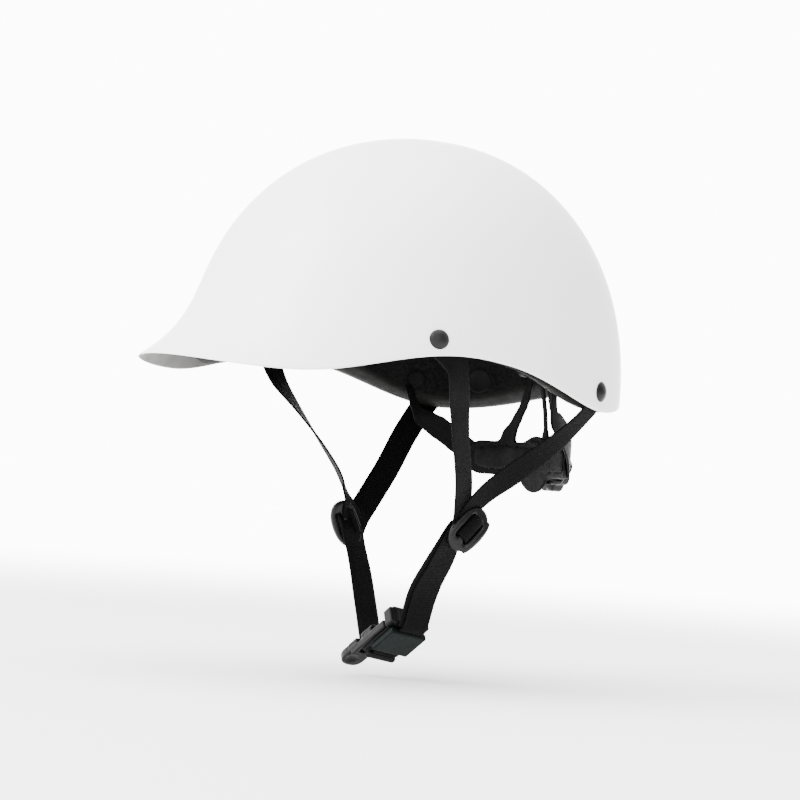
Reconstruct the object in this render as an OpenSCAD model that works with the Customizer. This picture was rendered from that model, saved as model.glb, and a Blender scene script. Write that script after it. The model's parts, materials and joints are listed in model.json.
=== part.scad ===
// Peaked hard-shell helmet with a dial-adjusted rear cradle and a chin strap.
// Origin: centre of the head opening at the rim line. +X is the wearer's left,
// -Y is the front and +Z is up. Millimetres.

/* [Shell] */
// Half width of the shell at the rim
shell_half_width = 106; // [104:1:108]
// Length of the dome in front of the origin, without the peak
front_length = 130; // [128:1:132]
// Length of the dome behind the origin
rear_length = 122; // [120:1:124]
// Height of the dome above the rim line
dome_height = 137; // [135:1:139]
// Wall of the outer shell
shell_wall = 2.4; // [2:0.1:2.6]
// How far the peak flares out past the dome
peak_reach = 32; // [20:1:36]
// Height over which the peak blends into the dome
peak_blend = 60; // [54:1:66]

/* [Rim] */
// Rim height at the front of the peak
rim_front = 2.6; // [0:0.2:6]
// Rim height at the corners of the peak
rim_corner = -2; // [-4:0.2:2]
// Rim height over the ear
rim_ear = 11.8; // [8:0.2:14]
// Rim height behind the ear
rim_nape = -10.2; // [-11:0.2:-8]
// Rim height at the back
rim_back = 2.4; // [0:0.2:5]

/* [Liner] */
// Depth of the liner's outer face below the shell's outer face
liner_depth = 4.6; // [4.4:0.1:5]
// Depth of the liner's inner face below the shell's outer face
liner_inner_depth = 20; // [19:0.5:21]
// Thickness of the comfort pads
pad_thickness = 6; // [4:0.5:7]

/* [Straps] */
// Width of the webbing
strap_width = 15; // [13:0.5:15]
// Thickness of the webbing
strap_thickness = 1.4; // [1:0.1:1.6]

/* [Cradle] */
// Height of the dial's axis
dial_z = -41; // [-42:0.5:-40]
// Radius of the dial
dial_r = 15.5; // [14:0.5:16]
// Height of the cradle's tilt pin
tilt_z = 14; // [13:0.5:15]
// Radius of the tilt pin
tilt_pin_r = 1.5; // [1.2:0.1:1.6]
// Number of teeth on the pinion
pinion_teeth = 9; // [9:1:9]
// Tooth module of the pinion and racks
tooth_module = 0.8; // [0.8:0.1:0.8]

/* [Hidden] */

black = [0.07, 0.07, 0.075];
dark_grey = [0.17, 0.17, 0.18];
foam_grey = [0.22, 0.22, 0.23];
steel = [0.62, 0.63, 0.65];
white = [0.93, 0.93, 0.92];

// Powers that shape the dome: 2 is an ellipse, more is squarer.
plan_power = 2.15;
dome_power = 2.13;
// How quickly the dome draws in below the rim line
tuck = 0.6;
// How sharply the peak is centred on the front, and how it curves
peak_focus = 9.3;
peak_curve = 2.9;
// Angles from the front at which the rim heights are set
rim = [[0, rim_front], [37, rim_corner], [79, rim_ear], [127, rim_nape], [180, rim_back]];

// Grid of the shell and the liner
shell_steps = 72;
shell_levels = 22;
liner_steps = 56;
liner_levels = 14;
// Bevel along the liner's lower edge
liner_edge_lift = 0.6;
liner_bevel_lift = 4.5;
// How much higher the liner's edge is at the brow, behind the peak
liner_brow_lift = 9;

// Rivets: angle from the front and height
temple_rivet = [72, 19.3];
rear_rivet = [123, 0.8];
rivet_r = 5.6;

// Buckle: centre and the three turns that tilt it under the chin
buckle_centre = [4, 2.6, -139.5];
buckle_turn = [192, 34, 188];
socket_half_w = 12;
// Height of the webbing's middle in the buckle's own frame
sleeve_strap_z = 7.4;
// Heading and rise of the webbing's width where it lies flat on the buckle
strap_tilt = [91.2, -9.9];

// Adjusters: centre and the slant of their long axis
left_adjuster_at = [63.5, 6.2, -79.4];
left_adjuster_slant = 47;
right_adjuster_at = [-59.5, -0.5, -83.5];
right_adjuster_slant = 117;

// Cradle plan: a squarish arc behind the head
cradle_half_w = 78;
cradle_depth = 88;
cradle_power = 2.5;
plate_wall = 2;
wing_end = 52;

// Layers of the dial unit, front to back
tray_y = 90.3;
tray_floor = 1.2;
tray_back = 95.7;
left_rack_y = 91.9;
right_rack_y = 93.8;
rack_wall = 1.5;
cover_wall = 1.6;
dial_y = 98;
dial_depth = 7.5;
pitch_r = pinion_teeth * tooth_module / 2;
tooth_height = 0.6;
tooth_pitch = PI * tooth_module;

// ---------------------------------------------------------------- functions

function unit(v) = v / norm(v);
function mix(a, b, f) = a + (b - a) * f;
function ease(a, b, f) = mix(a, b, (1 - cos(180 * f)) / 2);
function clamp(v) = max(0, min(1, v));
function signed_pow(v, e) = sign(v) * pow(abs(v), e);

// Height of the shell's rim at angle u from the front
function rim_piece(v, i) = v <= rim[i + 1][0] || i == len(rim) - 2
    ? ease(rim[i][1], rim[i + 1][1], (v - rim[i][0]) / (rim[i + 1][0] - rim[i][0]))
    : rim_piece(v, i + 1);
function rim_height(u) = rim_piece(abs(u > 180 ? 360 - u : u), 0);

// Plan of the dome at depth d below its outer face
function dome_plan(u, d) = [
    (shell_half_width - d) * signed_pow(sin(u), 2 / plan_power),
    -((cos(u) > 0 ? front_length : rear_length) - d) * signed_pow(cos(u), 2 / plan_power),
];
function dome_scale(z, h) = z > 0
    ? pow(max(0, 1 - pow(z / h, dome_power)), 1 / dome_power)
    : 1 - tuck * pow(z / h, 2);

// Point of the dome at angle u, height z and depth d, with a peak of a given reach
function dome_point(u, z, d, reach) =
    let (
        p = dome_plan(u, d),
        flare = reach * pow((1 + cos(u)) / 2, peak_focus)
            * pow(1 - clamp((z - rim_height(u)) / peak_blend), peak_curve),
        k = dome_scale(z, dome_height - d) + flare / norm(p)
    ) [p.x * k, p.y * k, z];

// Height of grid level t, from 0 at the rim to 1 at the top
function level_z(u, t, d, lift) =
    let (
        h = dome_height - d,
        low = rim_height(u) + lift,
        low_angle = low > 0 ? asin(pow(low / h, dome_power / 2)) : low / h * 180 / PI,
        angle = mix(low_angle, 90, t)
    ) angle > 0 ? h * pow(sin(angle), 2 / dome_power) : h * angle * PI / 180;

// Outward direction of the dome in plan
function dome_azimuth(u, d) =
    let (a = dome_plan(u - 1, d), b = dome_plan(u + 1, d)) atan2(-(b.x - a.x), b.y - a.y);

// Smooth curve through control rows of any length
function smooth_row(rows, i, f) =
    let (
        n = len(rows),
        a = rows[max(i - 1, 0)], b = rows[i], c = rows[min(i + 1, n - 1)], e = rows[min(i + 2, n - 1)]
    ) 0.5 * (2 * b + (c - a) * f + (2 * a - 5 * b + 4 * c - e) * f * f
        + (3 * b - a - 3 * c + e) * f * f * f);
function smooth(rows, k) = concat(
    [for (i = [0 : len(rows) - 2], j = [0 : k - 1]) smooth_row(rows, i, j / k)],
    [rows[len(rows) - 1]]);

// Plan curve of the cradle, at a given distance outside its inner face
function cradle_y(x, out) =
    (cradle_depth + out) * pow(1 - pow(abs(x) / (cradle_half_w + out), cradle_power), 1 / cradle_power);

// A point of the buckle's frame, in the helmet's frame
function turn_x(v, a) = [v.x, v.y * cos(a) - v.z * sin(a), v.y * sin(a) + v.z * cos(a)];
function turn_y(v, a) = [v.x * cos(a) + v.z * sin(a), v.y, -v.x * sin(a) + v.z * cos(a)];
function turn_z(v, a) = [v.x * cos(a) - v.y * sin(a), v.x * sin(a) + v.y * cos(a), v.z];
function buckle_point(v) = buckle_centre
    + turn_z(turn_y(turn_x(v, buckle_turn.x), buckle_turn.y), buckle_turn.z);

// ---------------------------------------------------------------- shared solids

// Closed bowl between two depths of the dome
module bowl(outer, inner, reach, outer_lift, inner_lift, raised, steps, levels) {
    grid = function (d, lift) [
        for (j = [0 : levels - 1], i = [0 : steps - 1])
            let (u = 360 * i / steps, brow = raised * pow((1 + cos(u)) / 2, 6))
                dome_point(u, level_z(u, j / levels, d, lift + brow), d, reach)
    ];
    top = function (d) [0, 0, dome_height - d];
    per = steps * levels;
    cell = function (base, j, i, flip)
        let (
            k = (i + 1) % steps,
            a = base + j * steps + i, b = base + j * steps + k,
            c = a + steps, e = b + steps
        ) flip ? [[a, b, c], [b, e, c]] : [[a, c, b], [b, c, e]];
    cap = function (base, apex, i, flip)
        let (a = base + (levels - 1) * steps + i, b = base + (levels - 1) * steps + (i + 1) % steps)
            flip ? [a, b, apex] : [a, apex, b];
    polyhedron(
        concat(grid(outer, outer_lift), [top(outer)], grid(inner, inner_lift), [top(inner)]),
        concat(
            [for (j = [0 : levels - 2], i = [0 : steps - 1]) each cell(0, j, i, false)],
            [for (i = [0 : steps - 1]) cap(0, per, i, false)],
            [for (j = [0 : levels - 2], i = [0 : steps - 1]) each cell(per + 1, j, i, true)],
            [for (i = [0 : steps - 1]) cap(per + 1, 2 * per + 1, i, true)],
            [for (i = [0 : steps - 1])
                let (k = (i + 1) % steps) each [[i, k, per + 1 + i], [k, per + 1 + k, per + 1 + i]]]));
}

// Curved slab on the liner's inner face, between two angles and two heights
module dome_pad(from_u, to_u, low_z, high_z, gap, thickness) {
    nu = 12;
    nz = 5;
    spot = function (i, j, d)
        let (
            fu = i / nu, fz = j / nz,
            pinch = 0.25 * pow(abs(2 * fu - 1), 4),
            z = mix(mix(low_z, high_z, pinch), mix(high_z, low_z, pinch), fz)
        ) dome_point(mix(from_u, to_u, fu), z, d, 0);
    slab(nu, nz, [
        for (d = [liner_inner_depth + gap, liner_inner_depth + gap + thickness], j = [0 : nz], i = [0 : nu])
            spot(i, j, d)
    ]);
}

// Closed slab from two layers of an (nu+1) by (nz+1) grid
module slab(nu, nz, points) {
    w = nu + 1;
    per = w * (nz + 1);
    id = function (layer, i, j) layer * per + j * w + i;
    polyhedron(points, concat(
        [for (i = [0 : nu - 1], j = [0 : nz - 1]) each [
            [id(0, i, j), id(0, i, j + 1), id(0, i + 1, j)],
            [id(0, i + 1, j), id(0, i, j + 1), id(0, i + 1, j + 1)],
            [id(1, i, j), id(1, i + 1, j), id(1, i, j + 1)],
            [id(1, i + 1, j), id(1, i + 1, j + 1), id(1, i, j + 1)]]],
        [for (i = [0 : nu - 1]) each [
            [id(0, i, 0), id(0, i + 1, 0), id(1, i, 0)],
            [id(0, i + 1, 0), id(1, i + 1, 0), id(1, i, 0)],
            [id(0, i, nz), id(1, i, nz), id(0, i + 1, nz)],
            [id(0, i + 1, nz), id(1, i, nz), id(1, i + 1, nz)]]],
        [for (j = [0 : nz - 1]) each [
            [id(0, 0, j), id(1, 0, j), id(0, 0, j + 1)],
            [id(0, 0, j + 1), id(1, 0, j), id(1, 0, j + 1)],
            [id(0, nu, j), id(0, nu, j + 1), id(1, nu, j)],
            [id(0, nu, j + 1), id(1, nu, j + 1), id(1, nu, j)]]]));
}

// Flat strip along rows of [x, y, z, heading of its width, width, rise of its width]
module ribbon(rows, thickness) {
    n = len(rows);
    at = function (i) [rows[i][0], rows[i][1], rows[i][2]];
    ring = function (i)
        let (
            along = unit(at(min(i + 1, n - 1)) - at(max(i - 1, 0))),
            wide = [cos(rows[i][3]) * cos(rows[i][5]), sin(rows[i][3]) * cos(rows[i][5]), sin(rows[i][5])],
            thin = unit(cross(along, wide)),
            side = cross(thin, along) * rows[i][4] / 2,
            half = thin * thickness / 2
        ) [at(i) - side - half, at(i) + side - half, at(i) + side + half, at(i) - side + half];
    last = 4 * (n - 1);
    polyhedron(
        [for (i = [0 : n - 1]) each ring(i)],
        concat(
            [[0, 1, 2], [0, 2, 3], [last, last + 2, last + 1], [last, last + 3, last + 2]],
            [for (i = [0 : n - 2], s = [0 : 3])
                let (a = 4 * i + s, b = 4 * i + (s + 1) % 4) each [[a, a + 4, b], [b, a + 4, b + 4]]]));
}

// Strap along control rows of [x, y, z, heading, rise]
module strap(rows) {
    color(black)
        ribbon([for (r = smooth(rows, 3)) [r[0], r[1], r[2], r[3], strap_width, r[4]]], strap_thickness);
}

// Places children on the dome with +Z pointing out of its face
module on_dome(spot, d) {
    translate(dome_point(spot[0], spot[1], d, 0))
        rotate([0, 90, dome_azimuth(spot[0], d)])
            children();
}

module both_sides() {
    children();
    mirror([1, 0, 0]) children();
}

module rounded_rect(w, h, r) {
    for (x = [-1, 1], y = [-1, 1])
        translate([x * (w / 2 - r), y * (h / 2 - r)]) circle(r, $fn = 32);
    square([w - 2 * r, h], center = true);
    square([w, h - 2 * r], center = true);
}

// Rounded bar along Y
module bar_y(half_length, r) {
    rotate([90, 0, 0]) cylinder(h = 2 * half_length, r = r, center = true, $fn = 32);
}

// Places a profile drawn in X and Z as a plate between two depths in Y
module plate_xz(y0, y1) {
    translate([0, y1, 0]) rotate([90, 0, 0]) linear_extrude(y1 - y0) children();
}

// ---------------------------------------------------------------- shell and liner

module outer_shell() {
    color(white)
        bowl(0, shell_wall, peak_reach, 0, 0, 0, shell_steps, shell_levels);
}

module foam_liner() {
    color(foam_grey)
        bowl(liner_depth, liner_inner_depth, 0, liner_edge_lift, liner_bevel_lift, liner_brow_lift,
            liner_steps, liner_levels);
}

pad_gap = 0.4;

// Height of the dome above a point in plan, at depth d
function dome_z(x, y, d) =
    let (
        across = abs(x) / (shell_half_width - d),
        along = abs(y) / ((y < 0 ? front_length : rear_length) - d),
        out = pow(pow(across, plan_power) + pow(along, plan_power), 1 / plan_power)
    ) (dome_height - d) * pow(1 - pow(out, dome_power), 1 / dome_power);

module crown_pad() {
    n = 10;
    spot = function (s, t, d)
        let (x = 50 * s * sqrt(1 - t * t / 2), y = 38 * t * sqrt(1 - s * s / 2) - 4) [x, y, dome_z(x, y, d)];
    color(dark_grey) slab(n, n, [
        for (d = [liner_inner_depth + 1, liner_inner_depth + 1 + pad_thickness], j = [0 : n], i = [0 : n])
            spot(2 * i / n - 1, 2 * j / n - 1, d)
    ]);
}

module brow_pad() {
    color(dark_grey) dome_pad(-52, 52, 19, 42, pad_gap, pad_thickness);
}

module rear_pad() {
    color(dark_grey) dome_pad(150, 210, 34, 60, pad_gap, pad_thickness);
}

module side_pad() {
    dome_pad(62, 100, 34, 64, pad_gap, pad_thickness);
}

module left_side_pad() {
    color(dark_grey) side_pad();
}

module right_side_pad() {
    color(dark_grey) mirror([1, 0, 0]) side_pad();
}

// Round plugs that show on the liner's inner face behind the ears
module liner_plugs() {
    color(dark_grey) both_sides() on_dome([141.6, 6.9], liner_inner_depth) {
        translate([0, 0, -1.6]) cylinder(h = 2.2, r = 7.5, $fn = 48);
        cylinder(h = 6, r = 3, $fn = 32);
    }
}

// ---------------------------------------------------------------- rivets

module rivet() {
    head_h = 2.6;
    ball_r = (rivet_r * rivet_r + head_h * head_h) / (2 * head_h);
    intersection() {
        translate([0, 0, head_h - ball_r]) sphere(ball_r, $fn = 64);
        translate([0, 0, -0.4]) cylinder(h = head_h + 1, r = rivet_r, $fn = 64);
    }
    translate([0, 0, -4.4]) cylinder(h = 5, r = 1.8, $fn = 32);
}

module temple_rivets() {
    color(dark_grey) both_sides() on_dome(temple_rivet, 0) rivet();
}

module rear_rivets() {
    color(dark_grey) both_sides() on_dome(rear_rivet, 0) rivet();
}

// Washers that spread the rivets' load inside the webbing
module rivet_washers() {
    color(steel) both_sides() for (spot = [temple_rivet, rear_rivet])
        on_dome(spot, shell_wall)
            translate([0, 0, -2]) difference() {
                cylinder(h = 0.5, r = 5, $fn = 48);
                translate([0, 0, -1]) cylinder(h = 3, r = 1.85, $fn = 32);
            }
}

// ---------------------------------------------------------------- straps

left_front_rows = [
    [96.5, -41.9, 25, 76, 0], [97.1, -42.1, 19.3, 76, 0], [98.5, -36.6, 13, 79, 0],
    [98.6, -31, 7, 86, 0], [95, -25.5, -4, 105, 0], [88, -19.5, -16, 112, 0],
    [81, -13, -32, 117, 0], [72, -4, -53, 117, 0], [66.5, 1.5, -65.5, 117, 0],
];
right_front_rows = [
    [-96.5, -41.9, 25, 104, 0], [-97.1, -42.1, 19.3, 104, 0], [-98.3, -39, 13.5, 103, 0],
    [-98.7, -36.6, 7, 103, 0], [-95, -32, -4, 112, 0], [-88, -23, -18, 135, 0],
    [-80, -11, -36, 155, 0], [-74, -2, -51, 160, 0], [-69.6, 1.6, -62.5, 160, 0], [-68, 2, -67, 160, 0],
];
left_rear_rows = [
    [87, 67.3, 6, 118.6, 0], [87, 67.3, 0.8, 118.6, 0], [86.9, 66.7, -4.5, 118, 0],
    [87.6, 64.2, -10.5, 115, 0], [84.3, 58, -18.5, 114, -4], [79.5, 49.5, -28.5, 110, -14],
    [75, 38.5, -39, 108, -28], [70.5, 26.5, -49, 108, -32], [67, 16.5, -57.5, 110, -20],
    [65, 11.5, -63, 112, -8],
];
right_rear_rows = [
    [-87, 67.3, 6, 61.4, 0], [-87, 67.3, 0.8, 61.4, 0], [-86.9, 66.7, -4.5, 62, 0],
    [-87.6, 64, -10.5, 65, 0], [-85.6, 54.2, -20, 72, 0], [-81, 46, -31, 76, 0],
    [-75, 33.5, -49, 80, 0], [-67.5, 18.5, -67, 84, 0], [-65, 12, -75, 88, 0],
];
left_lower_rows = [
    [59, -4, -91, 100, 0], [49, -1, -101, 96, -2], [38, 0, -112, 92, -5], [29, 2, -122, 91, -8],
    each [for (x = [-15, -8, 0, 8, 17.6]) concat(buckle_point([x, 0, sleeve_strap_z]), strap_tilt)],
];
right_lower_rows = [
    [-58.6, 7, -99, 100, 0], [-50, 6, -110, 96, 0], [-40, 4, -124, 92, -3], [-31, 2, -136, 91, -6],
    each [for (z = [-11, -5.6]) concat(buckle_point([25, -2, z]), strap_tilt)],
];

module left_front_strap() { strap(left_front_rows); }
module right_front_strap() { strap(right_front_rows); }
module left_rear_strap() { strap(left_rear_rows); }
module right_rear_strap() { strap(right_rear_rows); }
module left_lower_strap() { strap(left_lower_rows); }
module right_lower_strap() { strap(right_lower_rows); }

// Oval divider with two slots, a middle bar and a raised lower bar
module adjuster() {
    long = 28.4;
    short = 17.2;
    slot_w = 4.2;
    difference() {
        linear_extrude(4, center = true) rounded_rect(long, short, short / 2 - 0.5);
        for (y = [-1, 1])
            translate([0, y * 3.2, 0])
                linear_extrude(6, center = true) rounded_rect(17.6, slot_w, slot_w / 2 - 0.05);
    }
    intersection() {
        translate([0, -6.8, 1.6]) rotate([0, 90, 0]) cylinder(h = 23, r = 1.9, center = true, $fn = 32);
        linear_extrude(10, center = true) rounded_rect(long, short, short / 2 - 0.5);
    }
}

module left_adjuster() {
    color(dark_grey) translate(left_adjuster_at)
        rotate([90, 0, 90]) rotate([0, 0, left_adjuster_slant]) adjuster();
}

module right_adjuster() {
    color(dark_grey) translate(right_adjuster_at) mirror([1, 0, 0])
        rotate([90, 0, 90]) rotate([0, 0, right_adjuster_slant]) adjuster();
}

// ---------------------------------------------------------------- buckle
// In its own frame X runs along the strap, Y across it to the rear and Z away from the chin.

module in_buckle() {
    translate(buckle_centre) rotate(buckle_turn) children();
}

module block(x, y, z) {
    translate([x[0], y[0], z[0]]) cube([x[1] - x[0], y[1] - y[0], z[1] - z[0]]);
}

socket_x = [-13, 21];
socket_z = [-6, 5];
channel_x = [-6, 17];
channel_z = [-4, 2.6];
channel_end = 9;
magnet_r = 2.6;
tongue_x = [9.4, 16.6];
magnet_x = 13;

module buckle_socket() {
    color(dark_grey) in_buckle() difference() {
        union() {
            translate([(socket_x[0] + socket_x[1]) / 2, 0, socket_z[0]])
                linear_extrude(socket_z[1] - socket_z[0])
                    rounded_rect(socket_x[1] - socket_x[0], 2 * socket_half_w, 2.5);
            translate([20.4, 0, 6.2]) bar_y(10, 2.4);
            block([18, 21], [-10, 10], [4, 6.2]);
        }
        block(channel_x, [-socket_half_w - 1, channel_end], channel_z);
        block([-6, 9], [-socket_half_w - 1, 2], [-7, -3.9]);
        translate([magnet_x, channel_end + 1.4, -0.7]) bar_y(1.05, magnet_r + 0.05);
    }
}

module socket_magnet() {
    color(steel) in_buckle() translate([magnet_x, channel_end + 1.4, -0.7]) bar_y(1, magnet_r);
}

tab_front = [-14.4, -12.3];

module buckle_tab() {
    color(dark_grey) in_buckle() difference() {
        union() {
            block(tongue_x, [tab_front[1] - 0.1, channel_end - 0.4], [-3.7, 2.3]);
            translate([0, tab_front[1], 0]) rotate([90, 0, 0])
                linear_extrude(tab_front[1] - tab_front[0])
                    translate([11.4, 1.6]) rounded_rect(33.2, 6, 2);
            block([21.4, 30], [tab_front[0], 8.4], [-3.7, 1.6]);
            translate([33.2, -7.6, -3.7]) linear_extrude(6.2) rounded_rect(17.6, 13.6, 6);
        }
        block([23.8, 26.4], [-9.8, 5.8], [-8, 8]);
        translate([34.5, -10, 9.4]) sphere(8, $fn = 48);
        translate([magnet_x, channel_end - 1.4, -0.7]) bar_y(1.05, magnet_r + 0.05);
    }
}

module tab_magnet() {
    color(steel) in_buckle() translate([magnet_x, channel_end - 1.4, -0.7]) bar_y(1, magnet_r);
}

module strap_sleeve() {
    low = sleeve_strap_z - strap_thickness / 2 - 0.3;
    high = sleeve_strap_z + strap_thickness / 2 + 0.3;
    color(black) in_buckle() difference() {
        translate([1.5, 0, sleeve_strap_z]) rotate([90, 0, 90])
            linear_extrude(21, center = true) rounded_rect(23.6, high - low + 2, 1.6);
        block([-15, 20], [-strap_width / 2 - 0.5, strap_width / 2 + 0.5], [low, high]);
    }
}

// ---------------------------------------------------------------- cradle

arm_half_gap = 7.6;
arm_w = 6;
leg_w = 3.2;
boss_r = 16.5;
eye_y = 89;
plate_low = dial_z - 7.5;
plate_high = dial_z + 13;

module tilt_pin() {
    color(steel) translate([0, eye_y, tilt_z]) rotate([0, 90, 0])
        cylinder(h = 38, r = tilt_pin_r, center = true, $fn = 32);
}

// Blocks set into the liner that carry the tilt pin
module cradle_brackets() {
    color(dark_grey) both_sides() difference() {
        union() {
            block([14.6, 19.4], [eye_y, rear_length - liner_inner_depth + 2], [tilt_z - 4, tilt_z + 4]);
            translate([17, eye_y, tilt_z]) rotate([0, 90, 0]) cylinder(h = 4.8, r = 4, center = true, $fn = 32);
        }
        translate([17, eye_y, tilt_z]) rotate([0, 90, 0])
            cylinder(h = 8, r = tilt_pin_r, center = true, $fn = 32);
    }
}

// Rear view of the wings, with rounded ends and a round boss behind the dial
module wing_outline() {
    translate([0, (plate_low + plate_high) / 2])
        rounded_rect(2 * wing_end, plate_high - plate_low, 8);
    translate([0, dial_z]) circle(boss_r, $fn = 64);
}

// Rear view of one arm, from the wing up to its eye
module arm_outline() {
    outer = [
        [36, plate_high - 3], [31, plate_high + 2], [28.5, plate_high + 6], [23.4, -14.5], [18, -7],
        [16.2, -3], [14.2, 4], [arm_half_gap + arm_w, 9], [arm_half_gap + arm_w, tilt_z],
    ];
    inner = [
        [arm_half_gap, tilt_z], [7.8, 8], [8.8, 3], [10.6, -3], [12.2, -7], [17, -14.5],
        [21, plate_high + 6], [22, plate_high + 2], [17, plate_high - 3],
    ];
    polygon(concat(outer, inner));
}

// Side view of the middle leg, from its eye back and down to a foot over the dial housing
module leg_outline() {
    foot_low = plate_high - 2.2;
    foot_high = plate_high + 0.3;
    polygon([
        [88, foot_low], [97.6, foot_low], [97.6, foot_high], [95.9, -19], [94.4, -10], [93, -3], [91.2, 5],
        [90.2, tilt_z], [88.4, tilt_z], [89.6, 5], [91.4, -3], [92.8, -10], [94.2, -19], [94.6, foot_high],
        [88, foot_high],
    ]);
}

module cradle_wall(inner, outer, half) {
    n = 30;
    xs = [for (i = [0 : n]) mix(-half, half, i / n)];
    linear_extrude(120, center = true)
        polygon(concat(
            [for (x = xs) [x, cradle_y(x, inner)]],
            [for (i = [n : -1 : 0]) [xs[i], cradle_y(xs[i], outer)]]));
}

module cradle_plate() {
    color(black) difference() {
        union() {
            intersection() {
                cradle_wall(0, plate_wall, wing_end);
                plate_xz(60, 100) union() {
                    wing_outline();
                    arm_outline();
                    mirror([1, 0]) arm_outline();
                }
            }
            block([-20, 20], [88, 90], [plate_low + 0.5, plate_high - 1]);
            both_sides() translate([arm_half_gap + arm_w / 2, eye_y, tilt_z]) rotate([0, 90, 0])
                cylinder(h = arm_w, r = 3.6, center = true, $fn = 32);
            rotate([90, 0, 90]) linear_extrude(leg_w, center = true) leg_outline();
            translate([0, eye_y, tilt_z]) rotate([0, 90, 0])
                cylinder(h = leg_w, r = 3.6, center = true, $fn = 32);
        }
        translate([0, eye_y, tilt_z]) rotate([0, 90, 0])
            cylinder(h = 40, r = tilt_pin_r + 0.06, center = true, $fn = 32);
        translate([0, 85, dial_z]) rotate([-90, 0, 0]) cylinder(h = 8, r = 1.56, $fn = 32);
    }
}

// Soft facing on the head side of the wings
module cradle_pad() {
    pad_half = wing_end - 3;
    color(dark_grey) intersection() {
        cradle_wall(-2.6, -0.1, pad_half);
        plate_xz(55, 86) translate([0, (plate_low + plate_high) / 2])
            rounded_rect(2 * pad_half, plate_high - plate_low - 4, 6);
    }
}

// ---------------------------------------------------------------- dial unit

tray_w = 42;
tray_h = 21;
tray_round = 9;

module dial_housing() {
    color(dark_grey) difference() {
        plate_xz(tray_y, tray_back) translate([0, dial_z]) rounded_rect(tray_w, tray_h, tray_round);
        plate_xz(tray_y + tray_floor, tray_back + 1)
            translate([0, dial_z]) rounded_rect(tray_w - 3.2, tray_h - 3.2, tray_round - 1.6);
        block([-30, 30], [tray_y + tray_floor, tray_back + 1], [dial_z - 8.2, dial_z + 8.2]);
        translate([0, tray_y - 1, dial_z]) rotate([-90, 0, 0]) cylinder(h = 4, r = 1.56, $fn = 32);
    }
}

module housing_cover() {
    color(dark_grey) difference() {
        plate_xz(tray_back, tray_back + cover_wall)
            translate([0, dial_z]) rounded_rect(tray_w, tray_h, tray_round);
        translate([0, tray_back - 1, dial_z]) rotate([-90, 0, 0]) cylinder(h = 4, r = 2.56, $fn = 32);
    }
}

// Ring with two sprung pawls that gives the dial its clicks
module ratchet_spring() {
    color(black) translate([0, dial_y - 0.5, dial_z]) rotate([-90, 0, 0]) {
        difference() {
            cylinder(h = 1.8, r = 6.5, $fn = 48);
            translate([0, 0, -1]) cylinder(h = 4, r = 4, $fn = 48);
        }
        for (a = [0, 180])
            rotate([0, 0, a]) translate([6, -0.6, 0]) cube([2.6, 1.2, 1.8]);
    }
}

module dial() {
    flutes = 10;
    flute_r = 5;
    color(dark_grey) translate([0, dial_y, dial_z]) rotate([-90, 0, 0]) difference() {
        cylinder(h = dial_depth, r = dial_r, $fn = 96);
        for (i = [0 : flutes - 1])
            rotate([0, 0, 360 * (i + 0.5) / flutes]) translate([dial_r + flute_r - 1.7, 0, -1])
                cylinder(h = dial_depth + 2, r = flute_r, $fn = 48);
        translate([0, 0, -1]) cylinder(h = 2.8, r = 9.5, $fn = 64);
        translate([0, 0, -1]) cylinder(h = dial_depth - 0.8, r = 2.5, $fn = 32);
        translate([0, 0, dial_depth - 2.2]) cylinder(h = 3, r = 3.3, $fn = 32);
    }
}

// Trapezium tooth that points along +Y from the pitch line
module tooth() {
    polygon([[-0.72, -1.1], [-0.24, tooth_height], [0.24, tooth_height], [0.72, -1.1]]);
}

module pinion() {
    color(steel) translate([0, 0, dial_z]) {
        translate([0, 91.8 + 3.7, 0]) rotate([90, 0, 0]) linear_extrude(3.7) {
            circle(pitch_r - 1, $fn = 48);
            for (i = [0 : pinion_teeth - 1])
                rotate(360 * i / pinion_teeth) translate([0, pitch_r]) tooth();
        }
        translate([0, 88.3, 0]) rotate([-90, 0, 0]) cylinder(h = 4.7, r = 1.5, $fn = 32);
        translate([0, 95.4, 0]) rotate([-90, 0, 0]) cylinder(h = dial_y + dial_depth - 95.4 - 2.4, r = 2.5, $fn = 32);
    }
}

module dial_screw() {
    color(steel) translate([0, dial_y + dial_depth - 2.2, dial_z]) rotate([-90, 0, 0]) difference() {
        cylinder(h = 1.8, r = 3.1, $fn = 48);
        for (a = [0, 90])
            rotate([0, 0, a]) translate([-2, -0.35, 0.9]) cube([4, 0.7, 2]);
    }
}

// Band end with a window round the pinion and teeth along the window's upper edge
module rack(first) {
    half_h = 7.5;
    tooth_edge = pitch_r + 0.75;
    plain_edge = pitch_r + 1.4;
    difference() {
        translate([-9, -half_h]) square([29, 2 * half_h]);
        translate([-6.4, -plain_edge]) square([21, tooth_edge + plain_edge]);
    }
    for (x = [for (i = [-2 : 5]) (i + first) * tooth_pitch])
        translate([x, pitch_r]) mirror([0, 1]) tooth();
}

module left_rack() {
    color(black) translate([0, 0, dial_z]) mirror([0, 0, 1])
        plate_xz(left_rack_y, left_rack_y + rack_wall) rack(0);
}

module right_rack() {
    color(black) translate([0, 0, dial_z]) mirror([1, 0, 0])
        plate_xz(right_rack_y, right_rack_y + rack_wall) rack(0.5);
}

// ---------------------------------------------------------------- bands

band_wall = 1.2;
band_out = plate_wall + 1.1;
band_rows = concat(
    [for (x = [24, 30, 36, 42]) [x, cradle_y(x, band_out), dial_z, 90, 14, 90]],
    [for (p = [[46, dial_z], [52, -37], [60, -29], [66, -22.5]]) [p.x, cradle_y(p.x, band_out), p.y, 90, 14, 90]],
    [[70.5, 55.6, -16.5, 90, 11, 90], [72.6, 52.8, -9.5, 90, 6, 80],
        [74, 51, -3, 90, 4.4, 70], [75.2, 50.2, 0.6, 90, 4.4, 70]]);

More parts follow.
